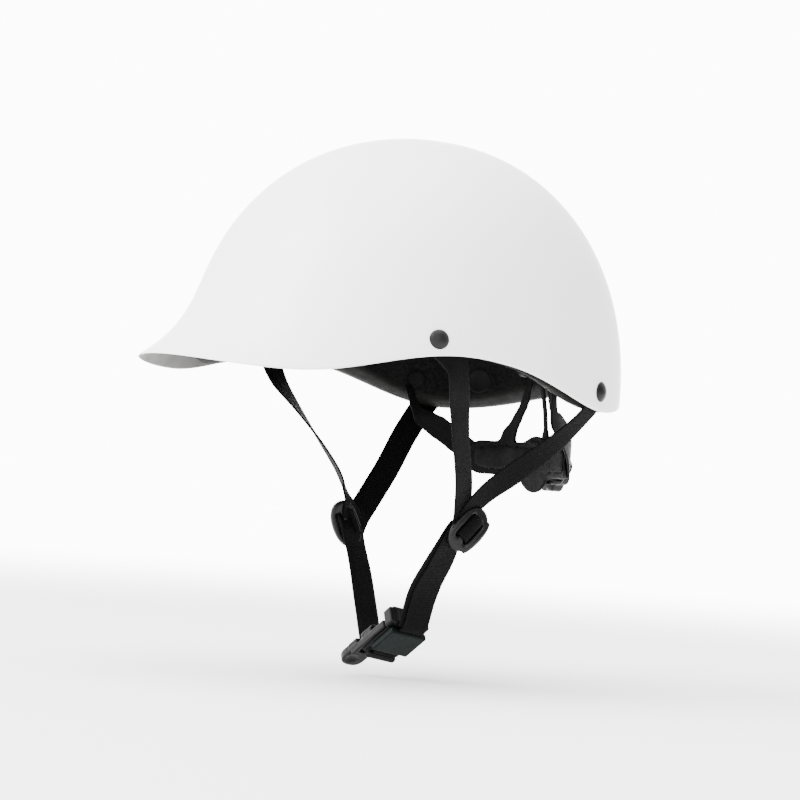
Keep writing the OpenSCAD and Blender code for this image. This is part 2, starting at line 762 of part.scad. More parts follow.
module band(y_at_housing) {
    ribbon(smooth(concat([[21.4, y_at_housing, dial_z, 90, 14, 90]], band_rows), 2), band_wall);
}

module left_band() {
    color(black) band(left_rack_y + rack_wall / 2);
}

module right_band() {
    color(black) mirror([1, 0, 0]) band(right_rack_y + rack_wall / 2);
}

// Plugs that hold the front ends of the bands in the liner
module band_anchors() {
    color(dark_grey) both_sides() on_dome([117.7, 5.4], liner_inner_depth) {
        translate([0, 0, -2.4]) cylinder(h = 3, r = 4.5, $fn = 48);
        cylinder(h = 7, r = 2.4, $fn = 32);
    }
}

outer_shell();
foam_liner();
crown_pad();
brow_pad();
rear_pad();
left_side_pad();
right_side_pad();
liner_plugs();
temple_rivets();
rear_rivets();
rivet_washers();
left_front_strap();
right_front_strap();
left_rear_strap();
right_rear_strap();
left_adjuster();
right_adjuster();
left_lower_strap();
right_lower_strap();
buckle_socket();
socket_magnet();
buckle_tab();
tab_magnet();
strap_sleeve();
cradle_brackets();
tilt_pin();
cradle_plate();
cradle_pad();
dial_housing();
housing_cover();
ratchet_spring();
dial();
pinion();
dial_screw();
left_rack();
right_rack();
left_band();
right_band();
band_anchors();
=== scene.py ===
"""Peaked hard-shell helmet: the visible model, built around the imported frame."""
import json
import math

import bpy
import numpy as np
from mathutils import Matrix, Vector


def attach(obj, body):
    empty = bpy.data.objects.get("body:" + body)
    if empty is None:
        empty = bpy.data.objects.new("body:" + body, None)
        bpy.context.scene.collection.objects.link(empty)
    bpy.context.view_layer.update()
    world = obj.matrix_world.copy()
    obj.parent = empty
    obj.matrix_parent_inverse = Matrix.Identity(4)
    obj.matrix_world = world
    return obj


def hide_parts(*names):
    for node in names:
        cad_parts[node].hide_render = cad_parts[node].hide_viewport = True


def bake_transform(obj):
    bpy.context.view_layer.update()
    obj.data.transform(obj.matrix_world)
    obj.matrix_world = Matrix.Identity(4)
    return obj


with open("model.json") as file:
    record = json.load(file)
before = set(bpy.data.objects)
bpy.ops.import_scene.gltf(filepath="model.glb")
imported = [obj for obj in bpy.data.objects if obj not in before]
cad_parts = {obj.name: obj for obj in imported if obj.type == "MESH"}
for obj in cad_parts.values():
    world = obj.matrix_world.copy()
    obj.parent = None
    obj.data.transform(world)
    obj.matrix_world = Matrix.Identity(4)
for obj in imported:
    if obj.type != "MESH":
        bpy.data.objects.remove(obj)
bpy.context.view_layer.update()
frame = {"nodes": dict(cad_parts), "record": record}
nodes = frame["nodes"]
MM = 0.001
CAMERA_AZIMUTH, CAMERA_ELEVATION, CAMERA_ROLL = 59.37, -2.01, 4.19
CAMERA_DISTANCE, CAMERA_LENS, CAMERA_SHIFT = 1.4547, 115.64, (-0.01157, -0.02235)
FLOOR_Z, FLOOR_HALF = -0.1685, 4.0


# ------------------------------------------------------------------ camera and light

def camera():
    azimuth, elevation, roll = map(math.radians, (CAMERA_AZIMUTH, CAMERA_ELEVATION, CAMERA_ROLL))
    back = Vector((math.sin(azimuth) * math.cos(elevation),
                   -math.cos(azimuth) * math.cos(elevation), math.sin(elevation)))
    right = Vector((math.cos(azimuth), math.sin(azimuth), 0))
    up = back.cross(right)
    x_axis = right * math.cos(roll) + up * math.sin(roll)
    y_axis = -right * math.sin(roll) + up * math.cos(roll)
    data = bpy.data.cameras.new("camera")
    data.sensor_width = 36
    data.lens = CAMERA_LENS
    data.shift_x, data.shift_y = CAMERA_SHIFT
    data.clip_end = 20
    obj = bpy.data.objects.new("camera", data)
    bpy.context.scene.collection.objects.link(obj)
    turn = Matrix((x_axis, y_axis, back)).transposed().to_4x4()
    obj.matrix_world = Matrix.Translation(back * CAMERA_DISTANCE) @ turn
    bpy.context.scene.camera = obj


def area_light(name, place, target, size, power):
    data = bpy.data.lights.new(name, "AREA")
    data.shape = "SQUARE"
    data.size = size
    data.energy = power
    obj = bpy.data.objects.new(name, data)
    bpy.context.scene.collection.objects.link(obj)
    obj.location = place
    obj.rotation_euler = (Vector(target) - Vector(place)).to_track_quat("-Z", "Y").to_euler()


def fade_out(tree, shader, start, end):
    """Lets a material turn clear between two distances from its object's origin."""
    coord = tree.nodes.new("ShaderNodeTexCoord")
    far = tree.nodes.new("ShaderNodeVectorMath")
    far.operation = "LENGTH"
    fade = tree.nodes.new("ShaderNodeMapRange")
    fade.interpolation_type = "SMOOTHSTEP"
    fade.inputs["From Min"].default_value = start
    fade.inputs["From Max"].default_value = end
    clear = tree.nodes.new("ShaderNodeBsdfTransparent")
    mix = tree.nodes.new("ShaderNodeMixShader")
    tree.links.new(coord.outputs["Object"], far.inputs[0])
    tree.links.new(far.outputs["Value"], fade.inputs["Value"])
    tree.links.new(fade.outputs["Result"], mix.inputs[0])
    tree.links.new(shader.outputs["BSDF"], mix.inputs[1])
    tree.links.new(clear.outputs["BSDF"], mix.inputs[2])
    tree.links.new(mix.outputs["Shader"], tree.nodes["Material Output"].inputs["Surface"])


def glow(tree, coord, towards, start, end, dim, bright, smooth=False):
    """Strength of the surroundings by direction: dim away from a direction, bright towards it."""
    dot = tree.nodes.new("ShaderNodeVectorMath")
    dot.operation = "DOT_PRODUCT"
    dot.inputs[1].default_value = towards
    fall = tree.nodes.new("ShaderNodeMapRange")
    if smooth:
        fall.interpolation_type = "SMOOTHSTEP"
    for key, value in (("From Min", start), ("From Max", end), ("To Min", dim), ("To Max", bright)):
        fall.inputs[key].default_value = value
    tree.links.new(coord.outputs["Generated"], dot.inputs[0])
    tree.links.new(dot.outputs["Value"], fall.inputs["Value"])
    return fall.outputs["Result"]


def surroundings():
    """Soft white light, dimmer behind the wearer's left, with a bright backdrop on the other side."""
    world = bpy.data.worlds.new("studio")
    bpy.context.scene.world = world
    world.use_nodes = True
    tree = world.node_tree
    shade = tree.nodes["Background"]
    shade.inputs["Color"].default_value = (1, 1, 1, 1)
    coord = tree.nodes.new("ShaderNodeTexCoord")
    both = tree.nodes.new("ShaderNodeMath")
    both.operation = "ADD"
    tree.links.new(glow(tree, coord, (0.8, 0.55, 0.1), 0.05, 0.95, 4.2, 0.7), both.inputs[0])
    tree.links.new(glow(tree, coord, (-0.86, 0.51, 0.02), 0.91, 0.965, 0, 8, smooth=True), both.inputs[1])
    tree.links.new(both.outputs["Value"], shade.inputs["Strength"])


def plain_floor():
    mesh = bpy.data.meshes.new("floor")
    corners = [(-1, -1), (1, -1), (1, 1), (-1, 1)]
    mesh.from_pydata([(x * FLOOR_HALF, y * FLOOR_HALF, FLOOR_Z) for x, y in corners], [], [(0, 1, 2, 3)])
    floor = bpy.data.objects.new("floor", mesh)
    bpy.context.scene.collection.objects.link(floor)
    mat = bpy.data.materials.new("floor")
    mat.use_nodes = True
    shader = mat.node_tree.nodes["Principled BSDF"]
    shader.inputs["Base Color"].default_value = (0.88, 0.88, 0.88, 1)
    shader.inputs["Roughness"].default_value = 0.9
    shader.inputs["Specular IOR Level"].default_value = 0.1
    fade_out(mat.node_tree, shader, 0.55, 1.7)
    mesh.materials.append(mat)


def studio():
    surroundings()
    area_light("key", (-0.1, -1.7, 1.6), (0, 0, 0), 1.5, 120)
    area_light("top", (0.3, 0.1, 2.0), (0, 0, 0), 1.6, 45)
    area_light("glint", (1.7, -0.5, 0.5), (0, 0, -0.08), 0.7, 7)
    plain_floor()


camera()
studio()


# ------------------------------------------------------------------ materials

# Woven tape, in millimetres: its ribs across, the lines along it and its yarns
WEB_WIDTH, WEB_THICK, RIB_PITCH, LINE_PITCH, YARN_PITCH = 15.0, 1.3, 1.3, 1.88, 0.62


class Shade:
    """A small procedural material: one shader, with noise for colour, roughness and bump."""

    def __init__(self, name, roughness, **fixed):
        self.mat = bpy.data.materials.new(name)
        self.mat.use_nodes = True
        self.tree = self.mat.node_tree
        self.shader = self.tree.nodes["Principled BSDF"]
        self.shader.inputs["Roughness"].default_value = roughness
        for key, value in fixed.items():
            self.shader.inputs[key.replace("_", " ")].default_value = value
        self.coord = self.tree.nodes.new("ShaderNodeTexCoord")
        self.height = None

    def link(self, a, b):
        self.tree.links.new(a, b)

    def noise(self, scale, detail=3, stretch=None):
        node = self.tree.nodes.new("ShaderNodeTexNoise")
        node.inputs["Scale"].default_value = scale
        node.inputs["Detail"].default_value = detail
        source = self.coord.outputs["Object"]
        if stretch:
            mapping = self.tree.nodes.new("ShaderNodeMapping")
            mapping.inputs["Scale"].default_value = stretch
            self.link(source, mapping.inputs["Vector"])
            source = mapping.outputs["Vector"]
        self.link(source, node.inputs["Vector"])
        return node.outputs["Fac"]

    def cells(self, scale, feature="F1"):
        node = self.tree.nodes.new("ShaderNodeTexVoronoi")
        node.feature = feature
        node.inputs["Scale"].default_value = scale
        self.link(self.coord.outputs["Object"], node.inputs["Vector"])
        return node.outputs["Distance"]

    def ramp(self, source, stops):
        node = self.tree.nodes.new("ShaderNodeValToRGB")
        ramp = node.color_ramp
        while len(ramp.elements) < len(stops):
            ramp.elements.new(0.5)
        for element, (place, colour) in zip(ramp.elements, stops):
            element.position = place
            element.color = (*colour, 1)
        self.link(source, node.inputs["Fac"])
        return node.outputs["Color"]

    def spread(self, source, low, high, start=0.3, end=0.7):
        node = self.tree.nodes.new("ShaderNodeMapRange")
        for key, value in (("From Min", start), ("From Max", end), ("To Min", low), ("To Max", high)):
            node.inputs[key].default_value = value
        self.link(source, node.inputs["Value"])
        return node.outputs["Result"]

    def math(self, kind, a, b):
        node = self.tree.nodes.new("ShaderNodeMath")
        node.operation = kind
        for i, value in enumerate((a, b)):
            if isinstance(value, (int, float)):
                node.inputs[i].default_value = value
            else:
                self.link(value, node.inputs[i])
        return node.outputs["Value"]

    def colour(self, output):
        self.link(output, self.shader.inputs["Base Color"])

    def roughness(self, output):
        self.link(output, self.shader.inputs["Roughness"])

    def bump(self, output, distance, strength=1.0):
        node = self.tree.nodes.new("ShaderNodeBump")
        node.inputs["Distance"].default_value = distance
        node.inputs["Strength"].default_value = strength
        self.link(output, node.inputs["Height"])
        if self.height:
            self.link(self.height, node.inputs["Normal"])
        self.height = node.outputs["Normal"]
        self.link(self.height, self.shader.inputs["Normal"])


def grey(v, warm=0.0):
    return (v * (1 + warm), v, v * (1 - warm))


def moulded(name, dark, light, roughness, grain=1500, depth=0.00004, **fixed):
    """Moulded plastic with a fine spark-eroded grain and slightly uneven gloss."""
    shade = Shade(name, roughness, **fixed)
    patch = shade.noise(60, 4)
    shade.colour(shade.ramp(patch, ((0.35, dark), (0.7, light))))
    shade.roughness(shade.spread(shade.noise(180, 3), roughness - 0.06, roughness + 0.08))
    shade.bump(shade.noise(grain, 2), depth)
    return shade.mat


def shell_material():
    shade = Shade("shell_white", 0.36, Specular_IOR_Level=0.45, Coat_Weight=0.12, Coat_Roughness=0.3)
    wide = shade.noise(9, 3)
    shade.colour(shade.ramp(wide, ((0.3, (0.83, 0.832, 0.828)), (0.7, (0.87, 0.87, 0.865)))))
    shade.roughness(shade.spread(shade.noise(70, 4), 0.33, 0.41))
    shade.bump(shade.noise(420, 2), 0.00004, 0.5)
    shade.bump(shade.noise(2600, 2), 0.000012, 0.6)
    return shade.mat


def foam_material():
    shade = Shade("liner_foam", 0.72, Specular_IOR_Level=0.04)
    beads = shade.cells(520)
    tone = shade.math("ADD", shade.math("MULTIPLY", beads, 0.7), shade.noise(38, 4))
    shade.colour(shade.ramp(tone, ((0.45, grey(0.0014)), (0.8, grey(0.0028)), (1.0, grey(0.005, 0.03)))))
    shade.roughness(shade.spread(shade.noise(120, 3), 0.6, 0.82))
    shade.bump(beads, 0.0002, 0.5)
    return shade.mat


def pad_material():
    shade = Shade("pad_fabric", 0.92, Specular_IOR_Level=0.04, Sheen_Weight=0.02, Sheen_Roughness=0.5)
    shade.colour(shade.ramp(shade.noise(90, 4), ((0.3, grey(0.004)), (0.75, grey(0.010)))))
    shade.roughness(shade.spread(shade.noise(300, 2), 0.85, 0.97))
    knit = shade.cells(1100, "DISTANCE_TO_EDGE")
    shade.bump(knit, 0.0002, 0.7)
    shade.bump(shade.noise(2400, 2), 0.0001, 0.4)
    return shade.mat


def webbing_material():
    """Woven tape: yarns across and along, in millimetres from the piece's own map."""
    base, light = 0.0012, 0.0045
    shade = Shade("webbing", 0.5, Specular_IOR_Level=0.05, Sheen_Weight=0.008, Sheen_Roughness=0.45)
    split = shade.tree.nodes.new("ShaderNodeSeparateXYZ")
    shade.link(shade.coord.outputs["UV"], split.inputs["Vector"])
    along, across = split.outputs["X"], split.outputs["Y"]
    row = shade.math("MULTIPLY", along, 2 * math.pi / RIB_PITCH)
    yarn = shade.math("SINE", shade.math("MULTIPLY", across, 2 * math.pi / YARN_PITCH), 0)
    offset = shade.math("SINE", shade.math("ADD", row, shade.math("MULTIPLY", across, 2.2)), 0)
    weave = shade.math("MULTIPLY", yarn, shade.math("ADD", shade.math("MULTIPLY", offset, 0.35), 0.65))
    fuzz = shade.noise(1500, 3)
    tone = shade.math("ADD", shade.math("MULTIPLY", weave, 0.16), fuzz)
    stops = ((0.25, grey(base * 0.7)), (0.6, grey(base * 1.3)), (0.9, grey(light, 0.02)))
    shade.colour(shade.ramp(tone, stops))
    shade.roughness(shade.spread(fuzz, 0.52, 0.78))
    shade.bump(weave, 0.00011, 0.7)
    shade.bump(fuzz, 0.00006, 0.5)
    return shade.mat


def sleeve_material():
    shade = Shade("sleeve_fabric", 0.4, Specular_IOR_Level=0.06)
    dark, light = (0.0018, 0.0034, 0.003), (0.003, 0.0055, 0.005)
    shade.colour(shade.ramp(shade.noise(120, 3), ((0.3, dark), (0.75, light))))
    shade.roughness(shade.spread(shade.noise(500, 2), 0.36, 0.52))
    shade.bump(shade.noise(2200, 2), 0.00004, 0.6)
    return shade.mat


def metal_material(name, dark, light, roughness):
    shade = Shade(name, roughness, Metallic=1.0)
    shade.colour(shade.ramp(shade.noise(200, 3), ((0.3, grey(dark)), (0.7, grey(light)))))
    shade.roughness(shade.spread(shade.noise(900, 3), roughness - 0.05, roughness + 0.08))
    shade.bump(shade.noise(1800, 2, (1, 1, 0.1)), 0.00002)
    return shade.mat


MAT = {
    "shell_white": shell_material(),
    "liner_foam": foam_material(),
    "pad_fabric": pad_material(),
    "webbing": webbing_material(),
    "sleeve_fabric": sleeve_material(),
    "trim_plastic": moulded("trim_plastic", grey(0.0015), grey(0.003), 0.5, Specular_IOR_Level=0.07),
    "rivet_plastic": moulded("rivet_plastic", grey(0.004), grey(0.008), 0.36, 900, 0.0001,
                             Specular_IOR_Level=0.16),
    "gloss_black": moulded("gloss_black", grey(0.0025), grey(0.0045), 0.28, 1200, 0.00003,
                           Specular_IOR_Level=0.17),
    "buckle_plastic": moulded("buckle_plastic", grey(0.0028), grey(0.005), 0.38, 1500, 0.00005,
                              Specular_IOR_Level=0.1),
    "cradle_plastic": moulded("cradle_plastic", grey(0.0015), grey(0.003), 0.5, 1800, 0.00006,
                              Specular_IOR_Level=0.05),
    "dial_plastic": moulded("dial_plastic", grey(0.003), grey(0.006), 0.32, 1300, 0.00005,
                            Specular_IOR_Level=0.18),
    "acetal": moulded("acetal", grey(0.03), grey(0.045), 0.35, 900, 0.00002),
    # Painted shade: a dark grey for the shell's inner faces and the lower half of its rim, standing in for
    # the shade under the white shell.
    "shell_inside_painted_shade": moulded("shell_inside_painted_shade", grey(0.10, 0.02), grey(0.13, 0.02), 0.6, 900, 0.00005,
                            Specular_IOR_Level=0.2),
    # Painted light: the liner's lower edge band is made lighter than the foam, standing in for the light its
    # bevel catches from below, with a warm tint and coarser bump of its own.
    "foam_edge_painted_light": moulded("foam_edge_painted_light", grey(0.003, 0.05), grey(0.007, 0.05), 0.7, 700, 0.0002,
                         Specular_IOR_Level=0.05),
    "steel": metal_material("steel", 0.42, 0.52, 0.32),
    "magnet": metal_material("magnet", 0.6, 0.7, 0.2),
}
SLOT = {entry["node"]: entry["material_slot"] for entry in frame["record"]["subparts"]}


# ------------------------------------------------------------------ meshes

def piece(name, verts, faces, body, *replaced, slot=None, uv=None):
    """A smooth mesh in millimetres that rides on a body and stands for CAD nodes."""
    slot = slot or SLOT[replaced[0]]
    verts = np.asarray(verts, float)
    corner = verts[np.array([f[:3] for f in faces])]
    if (np.cross(corner[:, 0], corner[:, 1]) * corner[:, 2]).sum() < 0:
        faces = [f[::-1] for f in faces]
    mesh = bpy.data.meshes.new(name)
    mesh.from_pydata((verts * MM).tolist(), [], [tuple(map(int, f)) for f in faces])
    mesh.validate()
    mesh.polygons.foreach_set("use_smooth", np.ones(len(mesh.polygons), bool))
    if uv is not None:
        layer = mesh.uv_layers.new(name="UVMap")
        index = np.zeros(len(mesh.loops), int)
        mesh.loops.foreach_get("vertex_index", index)
        layer.data.foreach_set("uv", np.asarray(uv, float)[index].ravel())
    mesh.update()
    mesh.materials.append(MAT[slot])
    obj = bpy.data.objects.new(name, mesh)
    bpy.context.scene.collection.objects.link(obj)
    if body:
        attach(obj, body)
    if replaced:
        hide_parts(*replaced)
    return obj


def tube_faces(rings, around):
    """Quads between closed rings of points."""
    i, j = np.meshgrid(np.arange(rings - 1), np.arange(around), indexing="ij")
    k = (j + 1) % around
    a, b = i * around + j, i * around + k
    return np.stack((a, b, b + around, a + around), -1).reshape(-1, 4).tolist()


def nets(field, low, high, step):
    """Closed mesh of the region where field(points) < 0, by surface nets."""
    axes = [np.arange(low[k] - step, high[k] + 2 * step, step) for k in range(3)]
    grid = np.stack(np.meshgrid(*axes, indexing="ij"), -1)
    value = field(grid)
    shape = np.array(value.shape) - 1
    total = np.zeros((*shape, 3))
    count = np.zeros(shape)
    corners = [(i, j, k) for i in (0, 1) for j in (0, 1) for k in (0, 1)]
    view = {c: tuple(slice(c[m], c[m] + shape[m]) for m in range(3)) for c in corners}
    for a in corners:
        for m in range(3):
            if a[m]:
                continue
            b = tuple(a[n] + (n == m) for n in range(3))
            va, vb = value[view[a]], value[view[b]]
            cut = (va < 0) != (vb < 0)
            f = np.where(cut, va / np.where(cut, va - vb, 1), 0)[..., None]
            total += np.where(cut[..., None], grid[view[a]] * (1 - f) + grid[view[b]] * f, 0)
            count += cut
    cells = count > 0
    index = -np.ones(shape, int)
    index[cells] = np.arange(cells.sum())
    points = total[cells] / count[cells][:, None]
    faces = []
    inside = value < 0
    for m in range(3):
        n, o = (m + 1) % 3, (m + 2) % 3
        here = [slice(1, s) for s in shape]
        here[m] = slice(0, shape[m])
        ahead = list(here)
        ahead[m] = slice(1, shape[m] + 1)
        va, vb = inside[tuple(here)], inside[tuple(ahead)]
        for mask, flip in ((va & ~vb, False), (~va & vb, True)):
            at = np.argwhere(mask)
            if not len(at):
                continue
            at[:, n] += 1
            at[:, o] += 1
            quad = []
            for dn, do in ((1, 1), (0, 1), (0, 0), (1, 0)):
                c = at.copy()
                c[:, n] -= dn
                c[:, o] -= do
                quad.append(index[c[:, 0], c[:, 1], c[:, 2]])
            quad = np.stack(quad, -1)
            faces.append(quad[:, ::-1] if flip else quad)
    faces = np.concatenate(faces)
    faces = faces[(faces >= 0).all(1)]
    tiny = 0.02
    for _ in range(3):
        base = field(points)
        slope = np.stack([(field(points + tiny * e) - field(points - tiny * e)) / (2 * tiny)
                          for e in np.eye(3)], -1)
        move = base[:, None] * slope / np.maximum((slope ** 2).sum(-1, keepdims=True), 0.2)
        size = np.linalg.norm(move, axis=1, keepdims=True)
        points = points - move * np.minimum(1, 0.3 * step / np.maximum(size, 1e-9))
    return points, faces.tolist()


def length(v):
    return np.sqrt((v ** 2).sum(-1))


def rounded_box(p, low, high, r):
    low, high = np.asarray(low, float), np.asarray(high, float)
    q = np.abs(p - (low + high) / 2) - (high - low) / 2 + r
    return length(np.maximum(q, 0)) + np.minimum(q.max(-1), 0) - r


def rod(p, a, b, r):
    a, b = np.asarray(a, float), np.asarray(b, float)
    t = np.clip(((p - a) @ (b - a)) / ((b - a) @ (b - a)), 0, 1)
    return length(p - a - t[..., None] * (b - a)) - r


def flat_rod(p, a, b, half, r):
    """Bar whose section is widened by half along the second axis of its frame."""
    q = p.copy()
    q[..., 1] = np.sign(q[..., 1]) * np.maximum(np.abs(q[..., 1]) - half, 0)
    return rod(q, a, b, r)


def disc(p, axis, low, high, r, round_r):
    """Short cylinder along an axis of its frame, with rounded edges."""
    others = [k for k in range(3) if k != axis]
    radial = length(p[..., others]) - r + round_r
    flat = np.abs(p[..., axis] - (low + high) / 2) - (high - low) / 2 + round_r
    both = np.stack((radial, flat), -1)
    return length(np.maximum(both, 0)) + np.minimum(both.max(-1), 0) - round_r


def plate(outline, offset, half, r):
    """Plate of a drawn outline, with rounded edges, from an outline field and an offset from its middle."""
    both = np.stack((outline + r, np.abs(offset) - half + r), -1)
    return length(np.maximum(both, 0)) + np.minimum(both.max(-1), 0) - r


def rounded_rect(p, half_w, half_h, r):
    """Outline field of a rounded rectangle around the origin of two coordinates."""
    q = np.abs(p) - np.array([half_w, half_h]) + r
    return length(np.maximum(q, 0)) + np.minimum(q.max(-1), 0) - r


def blend_in(a, b, k):
    """Union with a fillet of about k."""
    h = np.clip(0.5 + 0.5 * (b - a) / k, 0, 1)
    return b * (1 - h) + a * h - k * h * (1 - h)


def cut_out(a, b, k):
    """a with b taken away, with a rounded lip."""
    return -blend_in(-a, b, k)


# ------------------------------------------------------------------ the dome

HALF_W, FRONT, REAR, TALL = 106.0, 130.0, 122.0, 137.0
REACH, BLEND, FOCUS, CURVE = 32.0, 60.0, 9.3, 2.9
PLAN_POWER, DOME_POWER, TUCK = 2.15, 2.13, 0.6
RIM_AT = np.array([0, 37, 79, 127, 180.0])
RIM_Z = np.array([2.6, -2, 11.8, -10.2, 2.4])


def rim_height(u):
    v = np.degrees(np.abs((u + np.pi) % (2 * np.pi) - np.pi))
    i = np.clip(np.searchsorted(RIM_AT, v, side="left") - 1, 0, 3)
    f = (v - RIM_AT[i]) / (RIM_AT[i + 1] - RIM_AT[i])
    return RIM_Z[i] + (RIM_Z[i + 1] - RIM_Z[i]) * (1 - np.cos(np.pi * f)) / 2


def signed_pow(v, e):
    return np.sign(v) * np.abs(v) ** e


def dome_plan(u, d):
    s, c = np.sin(u), np.cos(u)
    reach = np.where(c > 0, FRONT, REAR) - d
    power = 2 / PLAN_POWER
    return np.stack(((HALF_W - d) * signed_pow(s, power), -reach * signed_pow(c, power)), -1)


def dome_point(u, z, d, reach=0.0):
    """Point of the dome; u in radians from the front, d the depth below the outer face."""
    u, z, d = np.broadcast_arrays(np.asarray(u, float), np.asarray(z, float), np.asarray(d, float))
    plan = dome_plan(u, d)
    tall = TALL - d
    over = np.maximum(1 - np.maximum(z, 0) ** DOME_POWER / tall ** DOME_POWER, 0) ** (1 / DOME_POWER)
    scale = np.where(z > 0, over, 1 - TUCK * (z / tall) ** 2)
    low = np.clip((z - rim_height(u)) / BLEND, 0, 1)
    flare = reach * ((1 + np.cos(u)) / 2) ** FOCUS * (1 - low) ** CURVE
    k = scale + flare / length(plan)
    return np.concatenate((plan * k[..., None], z[..., None]), -1)


def level_z(u, t, d, lift):
    tall = TALL - d
    low = rim_height(u) + lift
    start = np.where(low > 0, np.arcsin((np.maximum(low, 0) / tall) ** (DOME_POWER / 2)), low / tall)
    angle = start + (np.pi / 2 - start) * t
    over = tall * np.sin(np.maximum(angle, 0)) ** (2 / DOME_POWER)
    return np.where(angle > 0, over, tall * angle)


def bowl(name, profile, reach, steps, levels, node, painted_light, painted_from, painted_to, raised=0.0):
    """Closed bowl whose edge follows a profile of (depth, lift) from outside to inside.

    The rings between the two given counts after the outer wall get the second material, painted shade on the
    shell and painted light on the liner's edge, or all that follow where the last count is 0. The front edge
    is lifted by raised.
    """
    u = np.linspace(0, 2 * np.pi, steps, endpoint=False)
    rings = []
    fall = 1 - np.linspace(0.02, 1, levels) ** 1.15
    for t in fall:
        rings.append((*profile[0], t))
    for d, lift in profile[1:-1]:
        rings.append((d, lift, 0))
    for t in fall[::-1]:
        rings.append((*profile[-1], t))
    verts = []
    for d, lift, t in rings:
        brow = raised * ((1 + np.cos(u)) / 2) ** 6
        verts.append(dome_point(u, level_z(u, t, d, lift + brow), d, reach))
    verts = np.concatenate(verts)
    top = len(verts)
    ends = np.array([[0, 0, TALL - profile[0][0]], [0, 0, TALL - profile[-1][0]]])
    last = (len(rings) - 1) * steps
    k = np.arange(steps)
    faces = tube_faces(len(rings), steps)
    faces += np.stack((np.full(steps, top), (k + 1) % steps, k), -1).tolist()
    faces += np.stack((np.full(steps, top + 1), last + k, last + (k + 1) % steps), -1).tolist()
    obj = piece(name, np.concatenate((verts, ends)), faces, "helmet", node)
    # Second material on the chosen rings: painted shade on the shell, painted light on the liner's edge.
    obj.data.materials.append(MAT[painted_light])
    first, last = levels + painted_from, (levels + painted_to if painted_to else len(rings) + 2)
    ring_of = np.arange(len(obj.data.polygons)) // steps
    inside = (ring_of >= first) & (ring_of < last) & (ring_of < len(rings) - 1)
    if not painted_to:
        inside |= ring_of == len(rings)
    obj.data.polygons.foreach_set("material_index", inside.astype(int))
    return obj


def edge_arc(d0, d1, lift, n=8):
    """Half-round edge between two depths."""
    r = (d1 - d0) / 2
    angle = np.linspace(0, np.pi, n + 1)
    return [(d0 + r * (1 - math.cos(a)), lift + r * (1 - math.sin(a))) for a in angle]


# The shell's inner faces and the lower half of its rim get the dark grey of painted shade.
bowl("shell", edge_arc(0, 2.4, 0), REACH, 288, 90, "outer_shell", "shell_inside_painted_shade", 3, 0)
LINER_EDGE = [(4.6, 3.0), (4.6, 1.6), (4.9, 0.6), (5.6, 0.1), (6.6, 0.0), (9, 0.4), (12.5, 1.4), (16, 2.7),
              (18, 3.6), (19.1, 4.4), (19.8, 5.4), (20, 6.6)]
# The liner's lower edge rings get the lighter band of painted light from below.
bowl("liner", LINER_EDGE, 0, 240, 60, "foam_liner", "foam_edge_painted_light", -1, 10, raised=9)


# ------------------------------------------------------------------ webbing

# Distance between the stations of a strip, and how far its edges swell between ribs
STATION, SELVEDGE = 0.26, 0.06


def curve_rows(rows, per=24):
    """Catmull-Rom curve through control rows."""
    rows = np.asarray(rows, float)
    out = []
    for i in range(len(rows) - 1):
        a, b = rows[max(i - 1, 0)], rows[i]
        c, e = rows[i + 1], rows[min(i + 2, len(rows) - 1)]
        for f in np.arange(per) / per:
            out.append(0.5 * (2 * b + (c - a) * f + (2 * a - 5 * b + 4 * c - e) * f * f
                              + (3 * b - a - 3 * c + e) * f ** 3))
    out.append(rows[-1])
    return np.array(out)


def resample(rows, step):
    gap = np.concatenate(([0], np.cumsum(length(np.diff(rows[:, :3], axis=0)))))
    n = max(int(round(gap[-1] / step)), 2)
    at = np.linspace(0, gap[-1], n + 1)
    return at, np.stack([np.interp(at, gap, rows[:, k]) for k in range(rows.shape[1])], -1)


def unit(v):
    return v / np.maximum(np.linalg.norm(v, axis=-1, keepdims=True), 1e-9)


def strip_frames(rows):
    place = rows[:, :3]
    along = unit(np.gradient(place, axis=0))
    head, rise = np.radians(rows[:, 3]), np.radians(rows[:, 4])
    wide = np.stack((np.cos(head) * np.cos(rise), np.sin(head) * np.cos(rise), np.sin(rise)), -1)
    thin = unit(np.cross(along, wide))
    return place, along, np.cross(thin, along), thin


def section(width, thick, n):
    """Half positions across a flat strip with rounded edges: (across, height) around the section."""
    r = thick / 2
    flat = np.linspace(-(width / 2 - r), width / 2 - r, n)
    arc = np.linspace(90, -90, 6)[1:-1]
    right = [(width / 2 - r + r * math.cos(math.radians(a)), r * math.sin(math.radians(a))) for a in arc]
    top = [(x, r) for x in flat]
    return np.array(top + right + [(-x, -y) for x, y in top] + [(-x, -y) for x, y in right])


def sweep(name, at, frames, outlines, body, replaced):
    """Closed tape with one outline of (across, height) at each station, mapped in millimetres."""
    place, side, thin = frames
    verts, uv = [], []
    for i, (across, high) in enumerate(outlines):
        verts.append(place[i] + across[:, None] * side[i] + high[:, None] * thin[i])
        uv.append(np.stack((np.full(len(across), at[i]), across), -1))
    m = len(verts[0])
    last = (len(at) - 1) * m
    faces = [f[::-1] for f in tube_faces(len(at), m)]
    faces += [list(range(m)), [last + k for k in range(m)][::-1]]
    return piece(name, np.concatenate(verts), faces, body, *replaced, slot="webbing", uv=np.concatenate(uv))


